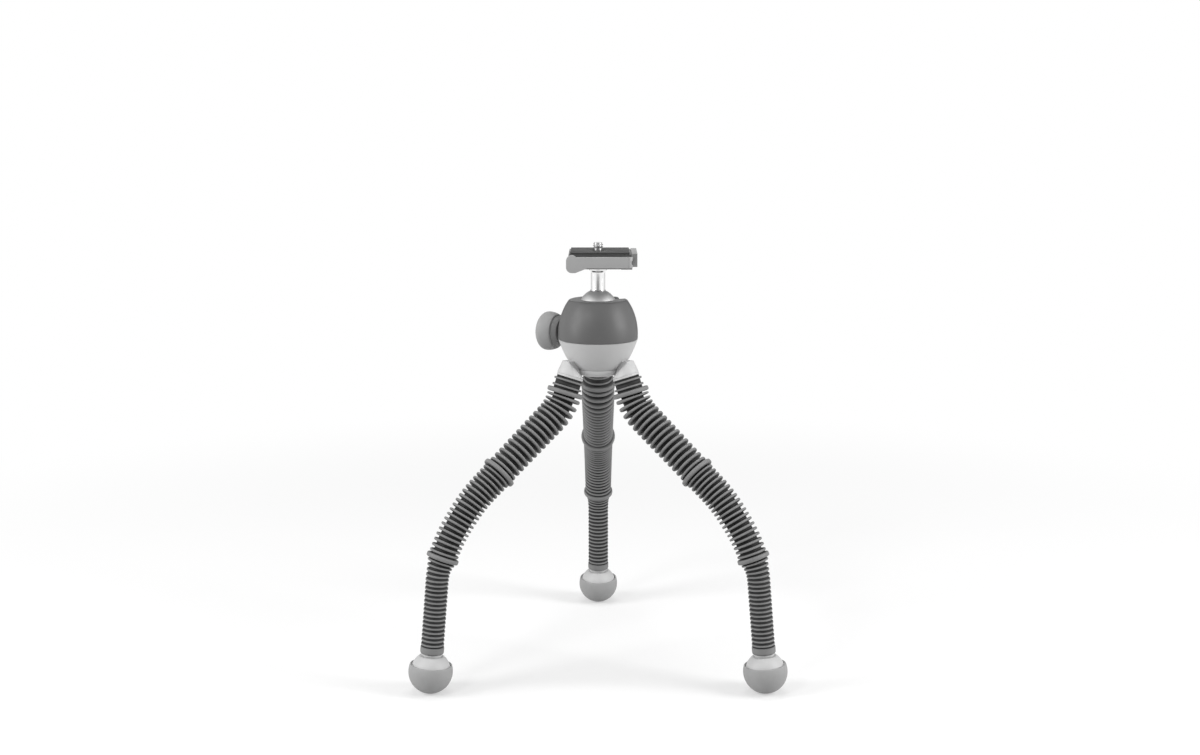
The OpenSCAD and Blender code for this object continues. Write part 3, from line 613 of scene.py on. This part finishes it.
def sleeve_tree():
    """A ribbed sleeve swept along a line: ribs with round rims at an even pitch, then a wider ring."""
    group = bpy.data.node_groups.new("ribbed_sleeve", "GeometryNodeTree")
    group.interface.new_socket("Sleeve", in_out="OUTPUT", socket_type="NodeSocketGeometry")
    for name, kind in SLEEVE_INPUTS.items():
        group.interface.new_socket(name, in_out="INPUT", socket_type="NodeSocket" + kind)
    tree = Tree(group)
    given = tree.node("NodeGroupInput")
    size = {name: given.also(name) for name in SLEEVE_INPUTS}
    band_rings = (size["Ribs"] + size["Rings"]) * RIB_STEPS
    grid = tree.node("GeometryNodeMeshGrid", None,
                     {"Vertices X": band_rings + (3 + BORE_RINGS), "Vertices Y": SLEEVE_SIDES + 1})
    index = tree.node("GeometryNodeInputIndex")
    ring = index.math("FLOOR", (index + 0.5) / (SLEEVE_SIDES + 1))
    side = index - ring * (SLEEVE_SIDES + 1)

    # The first outer ring, the ribs, the last outer ring, then back along the bore to the first again
    bore_ring = ring - (band_rings + 2)
    at_end = (bore_ring > -1.5) * (bore_ring < -0.5)
    in_bore = (bore_ring > -0.5) * (bore_ring < BORE_RINGS - 0.5)
    at_start = (ring < 0.5) + (bore_ring > BORE_RINGS - 0.5)
    on_rib = 1 - at_end - at_start - in_bore
    in_bore_station = size["End"] - (size["End"] - size["Start"]) * bore_ring / (BORE_RINGS - 1)

    # Across a rib, from one side of its foot over the rim to the other
    rib = index.math("FLOOR", (ring - 0.5) / RIB_STEPS)
    across = ((ring - 1) - rib * RIB_STEPS) * (math.pi / (RIB_STEPS - 1)) - math.pi / 2
    is_ring = rib > size["Ribs"] - 0.5
    sine, cosine = index.math("SINE", across), index.math("COSINE", across)
    rounding = RIB_ROUNDING - is_ring * (RIB_ROUNDING - RING_ROUNDING)
    rise = abs(cosine) ** rounding
    offset = index.math("SIGN", sine) * abs(sine) ** rounding

    thick = size["Rib thickness"] * (1 - is_ring) + size["Ring thickness"] * is_ring
    rib_middle = size["First rib"] + (rib + 0.5) * size["Pitch"]
    ring_middle = size["End"] - size["Ring thickness"] / 2
    middle = rib_middle * (1 - is_ring) + ring_middle * is_ring
    fading = (1 - rib / index.math("MAXIMUM", size["Ribs"] - 1, 1)) ** size["Fade"]
    rib_depth = size["Last depth"] + (size["First depth"] - size["Last depth"]) * fading
    depth = rib_depth * (1 - is_ring) + size["Ring depth"] * is_ring

    # Each point from its station, its radius and its side
    station = ((middle + offset * thick / 2) * on_rib + size["Start"] * at_start + size["End"] * at_end
               + in_bore_station * in_bore)
    radius = (size["Root radius"] + depth * rise * on_rib
              - (size["Root radius"] - size["Bore radius"]) * in_bore)
    line = tree.node("GeometryNodeObjectInfo", None, {"Object": size["Centre line"]}, "Geometry")
    place = tree.node("GeometryNodeSampleCurve", {"mode": "LENGTH"}, {"Curves": line, "Length": station},
                      "Position")
    outward = tree.vector("CROSS_PRODUCT", size["Sideways"], place.also("Tangent"))
    angle = side * (math.tau / SLEEVE_SIDES)
    out_part = tree.scaled(outward, radius * index.math("COSINE", angle))
    side_part = tree.scaled(size["Sideways"], radius * index.math("SINE", angle))
    point = tree.vector("ADD", place, tree.vector("ADD", out_part, side_part))

    placed = tree.node("GeometryNodeSetPosition", None, {"Geometry": grid, "Position": point})
    # Each point's height across its rib, from which the sleeves' finish paints shade into the grooves.
    marked = tree.node("GeometryNodeStoreNamedAttribute", {"data_type": "FLOAT", "domain": "POINT"},
                       {"Geometry": placed, "Name": "rise", "Value": rise * on_rib})
    closed = tree.node("GeometryNodeMergeByDistance", None, {"Geometry": marked, "Distance": 0.001 * MM})
    shaded = tree.node("GeometryNodeSetShadeSmooth", None, {0: closed})
    real = tree.node("GeometryNodeRealizeInstances", None, {"Geometry": shaded})
    painted = tree.node("GeometryNodeSetMaterial", None, {"Geometry": real, "Material": size["Material"]})
    tree.node("NodeGroupOutput", None, {"Sleeve": painted})
    return group


def grown(tree, sizes):
    """A plain mesh that a geometry tree makes from named sizes."""
    maker = bpy.data.objects.new("maker", bpy.data.meshes.new("maker"))
    bpy.context.scene.collection.objects.link(maker)
    modifier = maker.modifiers.new("grow", "NODES")
    modifier.node_group = tree
    for item in tree.interface.items_tree:
        if item.in_out == "INPUT":
            modifier[item.identifier] = sizes[item.name]
    mesh = bpy.data.meshes.new_from_object(maker.evaluated_get(bpy.context.evaluated_depsgraph_get()))
    bpy.data.objects.remove(maker)
    bm = bmesh.new()
    bm.from_mesh(mesh)
    bmesh.ops.recalc_face_normals(bm, faces=bm.faces)
    bm.to_mesh(mesh)
    bm.free()
    return mesh


SLEEVE_WALL = 1
SLEEVE_BORE, LOWER_BORE = 5.845, 5.163
SLEEVE_ROOT, LOWER_ROOT = SLEEVE_BORE + SLEEVE_WALL, LOWER_BORE + SLEEVE_WALL
BOOT_STEP = 1.2
RING_DEPTH = 4.6
# Where the ribs of a sleeve soon get shallow, they fade by this power within a stretch
STRETCH_FADE = 4.0

# Each sleeve from the hub down: its stations, ribs and radii, and the ring that ends it
SLEEVES = {
    "root_boot": {
        "start": SEAT_GAP, "end": BOOT_END, "ribs": 2, "rib_thick": 1.4,
        "first_depth": 1.3, "last_depth": 1.3, "fade": 1,
        "root": SLEEVE_ROOT + BOOT_STEP, "bore": SLEEVE_BORE,
        "ring_thick": 3, "ring_depth": RING_DEPTH - BOOT_STEP},
    "upper_sleeve": {
        "start": BOOT_END + SEAT_GAP, "end": UPPER_END, "ribs": 16, "rib_thick": 2.1,
        "first_depth": 3.9, "last_depth": 3.1, "fade": 1,
        "root": SLEEVE_ROOT, "bore": SLEEVE_BORE, "ring_thick": 3, "ring_depth": RING_DEPTH},
    "middle_sleeve": {
        "start": UPPER_END + SEAT_GAP, "end": MIDDLE_END, "ribs": 19, "rib_thick": 1.65,
        "first_depth": 3.1, "last_depth": 2.3, "fade": 1,
        "root": SLEEVE_ROOT, "bore": SLEEVE_BORE, "ring_thick": 3, "ring_depth": 3.2},
    "lower_sleeve": {
        "start": MIDDLE_END + SEAT_GAP, "end": ANKLE - SEAT_GAP, "ribs": 20, "rib_thick": 1.35,
        "first_depth": 2.3, "last_depth": 0.9, "fade": 12,
        "root": LOWER_ROOT, "bore": LOWER_BORE, "ring_thick": 4.4, "ring_depth": 1.1},
}
# The stretch of a sleeve at each joint from the hub down: its ribs, and the stations between which it bends
STRETCHES = [
    ("root_boot", (0, 2), (0.5, 10.5)),
    ("upper_sleeve", (0, 6), (12.5, 29)),
    ("upper_sleeve", (6, 16), (46.5, 70.5)),
    ("middle_sleeve", (0, 11), (88, 110)),
    ("middle_sleeve", (11, 19), (113, 137)),
    ("lower_sleeve", (0, 7), (141, 153)),
    ("lower_sleeve", (7, 20), (163.6, 187.6)),
]


def depth_of_rib(sleeve, rib):
    share = (1 - rib / (sleeve["ribs"] - 1)) ** sleeve["fade"]
    return sleeve["last_depth"] + (sleeve["first_depth"] - sleeve["last_depth"]) * share


def sleeves(leg, tree):
    """The ribbed sleeves of a leg, in one piece for each joint."""
    azimuth = math.radians(LEGS[leg])
    line = centre_line(leg)
    for joint, (node, (first, last), (bend_start, bend_end)) in enumerate(STRETCHES, 1):
        sleeve = SLEEVES[node]
        start, end, ribs = sleeve["start"], sleeve["end"], sleeve["ribs"]
        pitch = (end - sleeve["ring_thick"] - start) / ribs
        has_ring = last == ribs
        mesh = grown(tree, {
            "Centre line": line, "Sideways": (-math.sin(azimuth), math.cos(azimuth), 0),
            "Start": (start + pitch * first) * MM,
            "End": (end if has_ring else start + pitch * last) * MM,
            "First rib": (start + pitch * first) * MM, "Pitch": pitch * MM, "Ribs": last - first,
            "Rib thickness": sleeve["rib_thick"] * MM,
            "First depth": depth_of_rib(sleeve, first) * MM,
            "Last depth": depth_of_rib(sleeve, last - 1) * MM,
            "Fade": STRETCH_FADE if sleeve["fade"] > 1 else 1.0,
            "Root radius": sleeve["root"] * MM, "Bore radius": sleeve["bore"] * MM,
            "Rings": int(has_ring), "Ring thickness": sleeve["ring_thick"] * MM,
            "Ring depth": sleeve["ring_depth"] * MM, "Material": SLEEVE})
        piece = to_object(f"{leg}_ribs_{joint}", mesh, None)
        leg_point(leg, bend_start)
        leg_point(leg, bend_end)
        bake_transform(piece)
        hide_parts(f"{leg}_{node}")
    bpy.data.objects.remove(line)


def foot(leg):
    """The ball foot: a pale cap with a grooved neck, and a rubber pad with a round lip."""
    place, body = leg_matrix(leg, FOOT_STATION), leg + "_link_7"
    dome = FOOT_RADIUS - DOME_INSET
    neck_end = NECK_TOP + NECK_LENGTH
    cap = rounded([[0, NECK_TOP], [NECK_RADIUS, NECK_TOP, 0.5], [NECK_RADIUS, neck_end, 0.25],
                   [NECK_GROOVE, neck_end + GROOVE_LAP, 0.2], [NECK_GROOVE, DOME_TOP + GROOVE_LAP]])
    cap.append([DOME_START, DOME_TOP])
    cap += [[math.sqrt(dome ** 2 - h * h), h] for h in spaced(DOME_TOP, DOME_END, 24)]
    cap.append([0, DOME_END])
    to_object(leg + "_foot_dome", turned(cap, place), CAP, body, [leg + "_foot_cap"])

    # The rubber ball from its lip to its pole, by angles in radians over its middle
    lip_turn, lip_rise = 0.07, 0.27
    lip_angle, sweep = math.asin(FOOT_SEAM / FOOT_RADIUS) - lip_turn, math.pi / 2 + lip_rise
    ball = [[FOOT_RADIUS * math.cos(a), -FOOT_RADIUS * math.sin(a)]
            for a in spaced(lip_angle, lip_angle - sweep, 40)[:-1]]
    pad = rounded([[0, PAD_TOP], [PAD_RADIUS, PAD_TOP, 0.1], [LIP_INNER, -FOOT_SEAM, 0.1],
                   [LIP_OUTER, -FOOT_SEAM, 0.35], ball[0]])
    pad += ball[1:] + [[0, FOOT_RADIUS]]
    to_object(leg + "_foot_ball", turned(pad, place), FOOT_PAD, body, [leg + "_foot_pad"])


ribbed_sleeve = sleeve_tree()
for leg_name in LEGS:
    sleeves(leg_name, ribbed_sleeve)
    foot(leg_name)


# Head

def on_head(height=0):
    """A place on the head's axis, at a height over the seam."""
    return Matrix.Translation((0, HEAD_Y, SEAM_Z + height))


def bowl_outline(wall):
    """The bowl less a wall, or grown where the wall is below 0, with a fine chamfer at the seam."""
    radius, curve, depth = HOUSING_RADIUS - wall, BOWL_CURVE - wall, BOWL_DEPTH - wall
    flat = radius * (1 - depth / curve) ** (1 / BOWL_POWER)
    side = [[width, -curve * (1 - (width / radius) ** BOWL_POWER)]
            for width in spaced(flat, radius - BOWL_SEAM_INSET, 60)]
    return [[0, -depth]] + side + [[radius - SEAM_CHAMFER, 0], [0, 0]]


def bowl():
    mesh = turned(bowl_outline(0), on_head(), HOUSING_SIDES)
    to_object("bowl_turned", mesh, BOWL, "base", ["bowl"])


def shell_width(height):
    """The radius of the shell at a height over the seam."""
    return SHELL_WIDEST * math.sqrt(1 - ((height - SHELL_MIDDLE) / SHELL_CURVE) ** 2)


def shell_outline():
    """The shell's side, its round shoulder and its flat top."""
    shoulder = SHELL_HEIGHT - SHOULDER_DROP
    part = (shoulder - SHELL_MIDDLE) / SHELL_CURVE
    lean = math.atan(SHELL_WIDEST / SHELL_CURVE * part / math.sqrt(1 - part ** 2))
    rim = SHOULDER_DROP / (1 - math.sin(lean))
    middle = (shell_width(shoulder) - rim * math.cos(lean), SHELL_HEIGHT - rim)
    base = [[0, SHELL_SEAM_GAP], [HOUSING_RADIUS - SEAM_CHAMFER, SHELL_SEAM_GAP],
            [HOUSING_RADIUS, SEAM_CHAMFER]]
    side = [[shell_width(height), height] for height in spaced(0, shoulder, 40)[1:-1]]
    turn = [[middle[0] + rim * math.cos(a), middle[1] + rim * math.sin(a)]
            for a in spaced(lean, math.pi / 2, 12)]
    return base + side + turn + [[0, SHELL_HEIGHT]]


def notch():
    """What the notch takes from the shell: a slot with a round floor, from the ball's middle outwards."""
    radius, top, end = STEM_RADIUS + NOTCH_GAP, 30, HOUSING_RADIUS + 5
    floor_line = [(-radius * math.cos(a), -radius * math.sin(a)) for a in spaced(0, math.pi, 32)]
    profile = [(-radius, top)] + floor_line + [(radius, top)]
    bm = bmesh.new()
    near, far = [[bm.verts.new((x, y, z)) for y, z in profile] for x in (0, end)]
    bm.faces.new(near)
    bm.faces.new(far)
    for i in range(len(profile)):
        k = (i + 1) % len(profile)
        bm.faces.new((near[i], near[k], far[k], far[i]))
    bm.transform(on_head(BALL_RISE) @ Matrix.Rotation(math.radians(NOTCH_AZIMUTH), 4, "Z"))
    return to_mesh(bm, IN_METRES)


def upper_shell():
    """The dark shell over the ball, with its notch for the stem."""
    shell = turned(shell_outline(), on_head(), HOUSING_SIDES)
    hollow = turned(ball_outline(BALL_RADIUS + BALL_GAP, math.pi, 40), on_head(BALL_RISE), HOUSING_SIDES)
    mesh = smooth(cut(shell, [hollow, notch()], SHELL_EASE), 45)
    to_object("shell_turned", mesh, SHELL, "base", ["upper_shell"])


def ball_and_stem():
    """The ball with the flat that the stem sits on, and the stem with its flared head."""
    outline = ball_outline(BALL_RADIUS, math.acos(-STEM_SEAT / BALL_RADIUS), 60) + [[0, STEM_SEAT]]
    ball = turned(outline, on_head(BALL_RISE), HOUSING_SIDES)
    to_object("ball_turned", ball, BALL, "ball", ["head_ball_piece"])
    outline = rounded([[0, STEM_GAP], [BEAD_RADIUS, STEM_GAP], [BEAD_RADIUS, BEAD_TOP, 0.15],
                       [STEM_RADIUS, BEAD_END, 0.3], [STEM_RADIUS, FLARE_START, 0.4],
                       [FLARE_RADIUS, FLARE_END, 0.12], [FLARE_RADIUS, FLANGE_BASE - FLANGE_STEP, 0.1],
                       [FLANGE_RADIUS, FLANGE_BASE, 0.25], [FLANGE_RADIUS, STEM_LENGTH, 0.2],
                       [0, STEM_LENGTH]])
    stem = turned(outline, on_head(BALL_RISE + STEM_SEAT))
    to_object("stem_turned", stem, CHROME, "camera_mount", ["stem"])


def knob():
    """The lock knob: a dark skirt, and a soft cap that widens from its rim to a flat dome."""
    place = (on_head(KNOB_RISE) @ Matrix.Rotation(math.radians(KNOB_AZIMUTH), 4, "Z")
             @ Matrix.Rotation(math.pi / 2, 4, "Y"))
    start = HOUSING_RADIUS + KNOB_GAP
    cap_start = start + SKIRT_LENGTH
    rim = KNOB_RADIUS * math.sqrt(1 - (CAP_WIDEST / CAP_BACK) ** 2)
    edge = rim - CAP_OVERHANG
    skirt = rounded([[0, start], [edge - SKIRT_TAPER, start, 0.5],
                     [edge - SKIRT_WAIST, start + WAIST_HEIGHT, 1.5], [edge, cap_start - CAP_GAP, 0.2],
                     [0, cap_start - CAP_GAP]])
    to_object("knob_skirt_turned", turned(skirt, place), KNOB_SKIRT, "knob", ["knob_skirt"])

    cap = [[0, cap_start], [rim - RIM_INSET, cap_start], [rim - RIM_EDGE, cap_start + RIM_HEIGHT]]
    for height in spaced(0, CAP_WIDEST, 20)[1:-1]:
        back = (CAP_WIDEST - height) / CAP_BACK
        cap.append([KNOB_RADIUS * math.sqrt(1 - back ** 2), cap_start + height])
    for share in (math.sin(angle) for angle in spaced(0, math.pi / 2, 48)):
        cap.append([KNOB_RADIUS * max(1 - share ** DOME_POWER, 0) ** (1 / DOME_POWER),
                    cap_start + CAP_WIDEST + (KNOB_DOME - CAP_WIDEST) * share])
    to_object("knob_cap_turned", turned(cap, place), KNOB_CAP, "knob", ["knob_cap"])


def hub_arm():
    """One arm of the hub, outward along X: a strap up the bowl that flares to the collar of its leg."""
    far, above, below = 60, 40, -20
    root = Matrix.Translation((ROOT_REACH, 0, 0)) @ Matrix.Rotation(math.radians(180 - ROOT_LEAN), 4, "Y")
    bm = bmesh.new()
    for angle in spaced(0, math.tau, 96)[:-1]:
        way = Vector((math.cos(angle), math.sin(angle), 0))
        bm.verts.new(root @ (way * (HUB_COLLAR + COLLAR_STEP) - Vector((0, 0, COLLAR_LENGTH))))
    seam = HUB_FLOOR + BOWL_DEPTH
    reach = HOUSING_RADIUS * (1 - (seam - ARM_RISE) / BOWL_CURVE) ** (1 / BOWL_POWER)
    for distance in (reach - ARM_SINK, reach + ARM_THICK):
        for side in (-1, 1):
            bm.verts.new((distance, side * (ARM_WIDTH / 2 + ARM_SPARE), ARM_RISE))
    bmesh.ops.convex_hull(bm, input=bm.verts)
    arm = to_mesh(bm, IN_METRES)

    # The sides of the strap are flat, and its back lies on the bowl
    on_seam = Matrix.Translation((0, 0, seam))
    strap = block((0, -ARM_WIDTH / 2, below), (far, ARM_WIDTH / 2, above))
    low_part = block((-far, -far, below), (far, far, ARM_FOOT))
    around = cut(turned(bowl_outline(-ARM_THICK), on_seam), [strap, low_part])
    seat = turned(bowl_outline(-SEAT_GAP), on_seam, HOUSING_SIDES)
    arm = cut(arm, [around, seat], ARM_EASE)
    # The flat sides of the strap are marked for painted shade: a darker grey standing in for the shade
    # beside the bowl.
    sideways = 0.97
    shade_marks = arm.attributes.new("painted_shade", "FLOAT", "FACE")
    for face in arm.polygons:
        shade_marks.data[face.index].value = float(abs(face.normal.y) > sideways)

    groove = HUB_COLLAR - GROOVE_DEPTH
    collar = rounded([[0, -COLLAR_LENGTH - COLLAR_LAP], [groove, -COLLAR_LENGTH - COLLAR_LAP],
                      [groove, -COLLAR_LENGTH + GROOVE_WIDTH],
                      [HUB_COLLAR, -COLLAR_LENGTH + GROOVE_EDGE, 0.1],
                      [HUB_COLLAR, 0, 0.3], [0, 0]])
    return [arm, turned(collar, root)]


def hub():
    """Three arms that hold the bowl, and the dish under it with its seat for the bolt."""
    arm = hub_arm()
    on_root = Matrix.Translation(Vector((0, HEAD_Y, ROOT_Z)) * MM)
    dish = rounded([[0, BOLT_DEPTH], [BOLT_ROOM, BOLT_DEPTH], [BOLT_ROOM, 0, 0.2], [8, 0, 1.5],
                    [11.5, 0.6, 2], [14, 2.4, 1.5], [15.2, 5, 0.1], [13.5, 3.75], [12.5, 3.1],
                    [11.6, DISH_FLOOR], [0, DISH_FLOOR]])
    pieces = [joined(arm, on_root @ Matrix.Rotation(math.radians(azimuth), 4, "Z"))
              for azimuth in LEGS.values()]
    pieces.append(joined([turned(dish, Matrix())], on_root))
    to_object("hub_arms", smooth(joined(pieces), 32), HUB, "base", ["hub"])


bowl()
upper_shell()
ball_and_stem()
knob()
hub()

# Clamp
softened("clamp_base", CLAMP, 0.4)
softened("clamp_jaw", CLAMP, 0.35)
softened("clamp_lever", LEVER, 0.7, 4)
softened("plate", PLATE, 0.35)
softened("plate_pad", PLATE_PAD, 0.25)


def camera_screw():
    """The camera screw, with a rolled thread above the pad in place of the solid's plain stud."""
    close = 0.01
    axis = Vector((0, HEAD_Y * MM))
    solid = solid_of("camera_screw")
    stud = [vertex.co.z / MM for vertex in solid.vertices
            if abs((vertex.co.xy - axis).length / MM - THREAD_RADIUS) < close]
    bottom, top = min(stud), max(stud)
    for vertex in solid.vertices:
        offset = vertex.co.xy - axis
        if vertex.co.z / MM > bottom - close and offset.length / MM > THREAD_CORE:
            vertex.co.xy = axis + offset.normalized() * THREAD_CORE * MM

    turns = (top - bottom - 2 * THREAD_INSET) / THREAD_PITCH
    run_out, foot_sink, crest_sink, foot_half, crest_half = 8, 0.1, 0.05, 0.52, 0.09
    lowest = THREAD_CORE - crest_sink
    rings = []
    for share in spaced(0, 1, round(turns * 48)):
        angle = math.tau * turns * share
        crest = lowest + (THREAD_RADIUS - lowest) * min(1, run_out * share, run_out * (1 - share))
        height = bottom + THREAD_INSET + THREAD_PITCH * turns * share
        way = Vector((math.cos(angle), math.sin(angle), 0))
        section = ((THREAD_CORE - foot_sink, -foot_half), (crest, -crest_half),
                   (crest, crest_half), (THREAD_CORE - foot_sink, foot_half))
        rings.append([way * radius + Vector((0, HEAD_Y, height + rise)) for radius, rise in section])
    mesh = smooth(joined([solid, joined([skinned(rings)], IN_METRES)]))
    body = frame["nodes"]["camera_screw"]["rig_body"]
    to_object("camera_screw_threaded", mesh, STEEL, body, ["camera_screw"])


camera_screw()


def inner_finish(name):
    """The finish of a piece inside, which keeps its solid."""
    if "_link_" in name:
        return LINK
    return BEARING if name in ("ball_seat", "brake_shoe") else STEEL


for name, node in frame["nodes"].items():
    if not node.hide_render:
        node.data.materials.clear()
        node.data.materials.append(inner_finish(name))


# Stage, with places in metres

FLOOR_SHADE, FLOOR_GLOW, FLOOR_REACH = 0.62, 0.41, 30
NEAR_FLOOR, FAR_FLOOR, FAR_LIGHT = 0.22, 0.8, 0.35
FILL = 0.28
CARD_HEIGHT = 1.2

# The viewpoint, in millimetres from the head's axis and the floor, and dipped by an angle in radians
EYE_RIGHT, EYE_AWAY, EYE_HEIGHT, EYE_DIP = 1.24, 983.5, 363.6, 0.1789
# Its picture and focal length in pixels, and the sensor that they stand for in millimetres
PICTURE_WIDTH, FOCAL_LENGTH, SENSOR_WIDTH = 1200, 1585.6, 36


def seen_rays(tree):
    """1 for what the picture shows, straight or in metal or glass."""
    path = tree.node("ShaderNodeLightPath", None, None, "Is Camera Ray")
    seen = path.math("MAXIMUM", path, path.also("Is Glossy Ray"))
    return path.math("MAXIMUM", seen, path.also("Is Transmission Ray"))


def paper():
    """White floor: it keeps the shadows near the feet, and runs to plain white far off."""
    material, tree = finish("white_paper")
    away = tree.node("ShaderNodeVectorMath", {"operation": "LENGTH"}, {0: tree.place()}, "Value")
    far = tree.node("ShaderNodeMapRange", {"interpolation_type": "SMOOTHSTEP"},
                    {"Value": away, "From Min": NEAR_FLOOR, "From Max": FAR_FLOOR})
    seen = seen_rays(tree)
    lit = tree.node("ShaderNodeBsdfDiffuse", None, {"Color": grey(FLOOR_SHADE)})
    glow = tree.node("ShaderNodeEmission", None, {"Color": grey(1), "Strength": seen * FLOOR_GLOW})
    near = tree.node("ShaderNodeAddShader", None, {0: lit, 1: glow})
    white = tree.node("ShaderNodeEmission", None,
                      {"Color": grey(1), "Strength": seen * (1 - FAR_LIGHT) + FAR_LIGHT})
    both = tree.node("ShaderNodeMixShader", None, {0: far, 1: near, 2: white})
    tree.node("ShaderNodeOutputMaterial", None, {"Surface": both})
    return material


def sheet(name, corners, material):
    """A flat piece of the stage."""
    mesh = bpy.data.meshes.new(name)
    mesh.from_pydata(corners, [], [(0, 1, 2, 3)])
    mesh.materials.append(material)
    item = bpy.data.objects.new(name, mesh)
    bpy.context.scene.collection.objects.link(item)
    return item


def floor():
    reach = FLOOR_REACH
    corners = [(-reach, -reach, 0), (reach, -reach, 0), (reach, reach, 0), (-reach, reach, 0)]
    sheet("floor", corners, paper())


def surround():
    """White in the picture and in reflections, and an even dim light to the rest."""
    world = bpy.data.worlds.new("white_surround")
    world.use_nodes = True
    world.node_tree.nodes.clear()
    tree = Tree(world.node_tree)
    light = tree.node("ShaderNodeBackground", None,
                      {"Color": grey(1), "Strength": seen_rays(tree) * (1 - FILL) + FILL})
    tree.node("ShaderNodeOutputWorld", None, {"Surface": light})
    bpy.context.scene.world = world


def lamp(name, place, aim, width, height, power):
    light = bpy.data.lights.new(name, "AREA")
    light.shape, light.size, light.size_y, light.energy = "RECTANGLE", width, height, power
    item = bpy.data.objects.new(name, light)
    item.location = place
    item.rotation_euler = (Vector(aim) - Vector(place)).to_track_quat("-Z", "Y").to_euler()
    bpy.context.scene.collection.objects.link(item)


def card(name, tone, start, end):
    """A dark card seen only in reflections, upright between two places on the floor."""
    material, tree = finish(name)
    dim = tree.node("ShaderNodeEmission", None, {"Color": grey(1), "Strength": tone})
    tree.node("ShaderNodeOutputMaterial", None, {"Surface": dim})
    item = sheet(name, [(*start, 0), (*end, 0), (*end, CARD_HEIGHT), (*start, CARD_HEIGHT)], material)
    item.visible_camera = item.visible_diffuse = item.visible_shadow = item.visible_transmission = False


def viewpoint():
    """The view, in a picture of 1200 by 755 pixels."""
    view = bpy.data.cameras.new("camera")
    view.sensor_width, view.sensor_fit = SENSOR_WIDTH, "HORIZONTAL"
    view.lens = FOCAL_LENGTH / PICTURE_WIDTH * SENSOR_WIDTH
    eye = bpy.data.objects.new("camera", view)
    eye.location = (EYE_RIGHT * MM, (HEAD_Y - EYE_AWAY) * MM, EYE_HEIGHT * MM)
    eye.rotation_euler = (math.pi / 2 - EYE_DIP, 0, 0)
    bpy.context.scene.collection.objects.link(eye)
    bpy.context.scene.camera = eye


floor()
surround()
card("front_card", 0.32, (-0.72, -1.6), (0.72, -1.6))
card("left_card", 0.15, (-0.75, 0.9), (-0.25, 1.2))
card("right_card", 0.15, (0.25, 1.2), (0.75, 0.9))
lamp("left_softbox", (-1.15, -0.45, 0.65), (0, 0, 0.15), 0.5, 1.0, 9.8)
lamp("right_softbox", (1.15, -0.4, 0.65), (0, 0, 0.15), 0.5, 1.0, 11.5)
lamp("top_softbox", (0, 0.1, 1.5), (0, 0, 0.1), 0.9, 0.9, 5)
lamp("front_softbox", (-0.7, -1.05, 1.0), (0, 0, 0.1), 0.3, 0.3, 3)
viewpoint()
bpy.context.scene.view_settings.view_transform = "Standard"
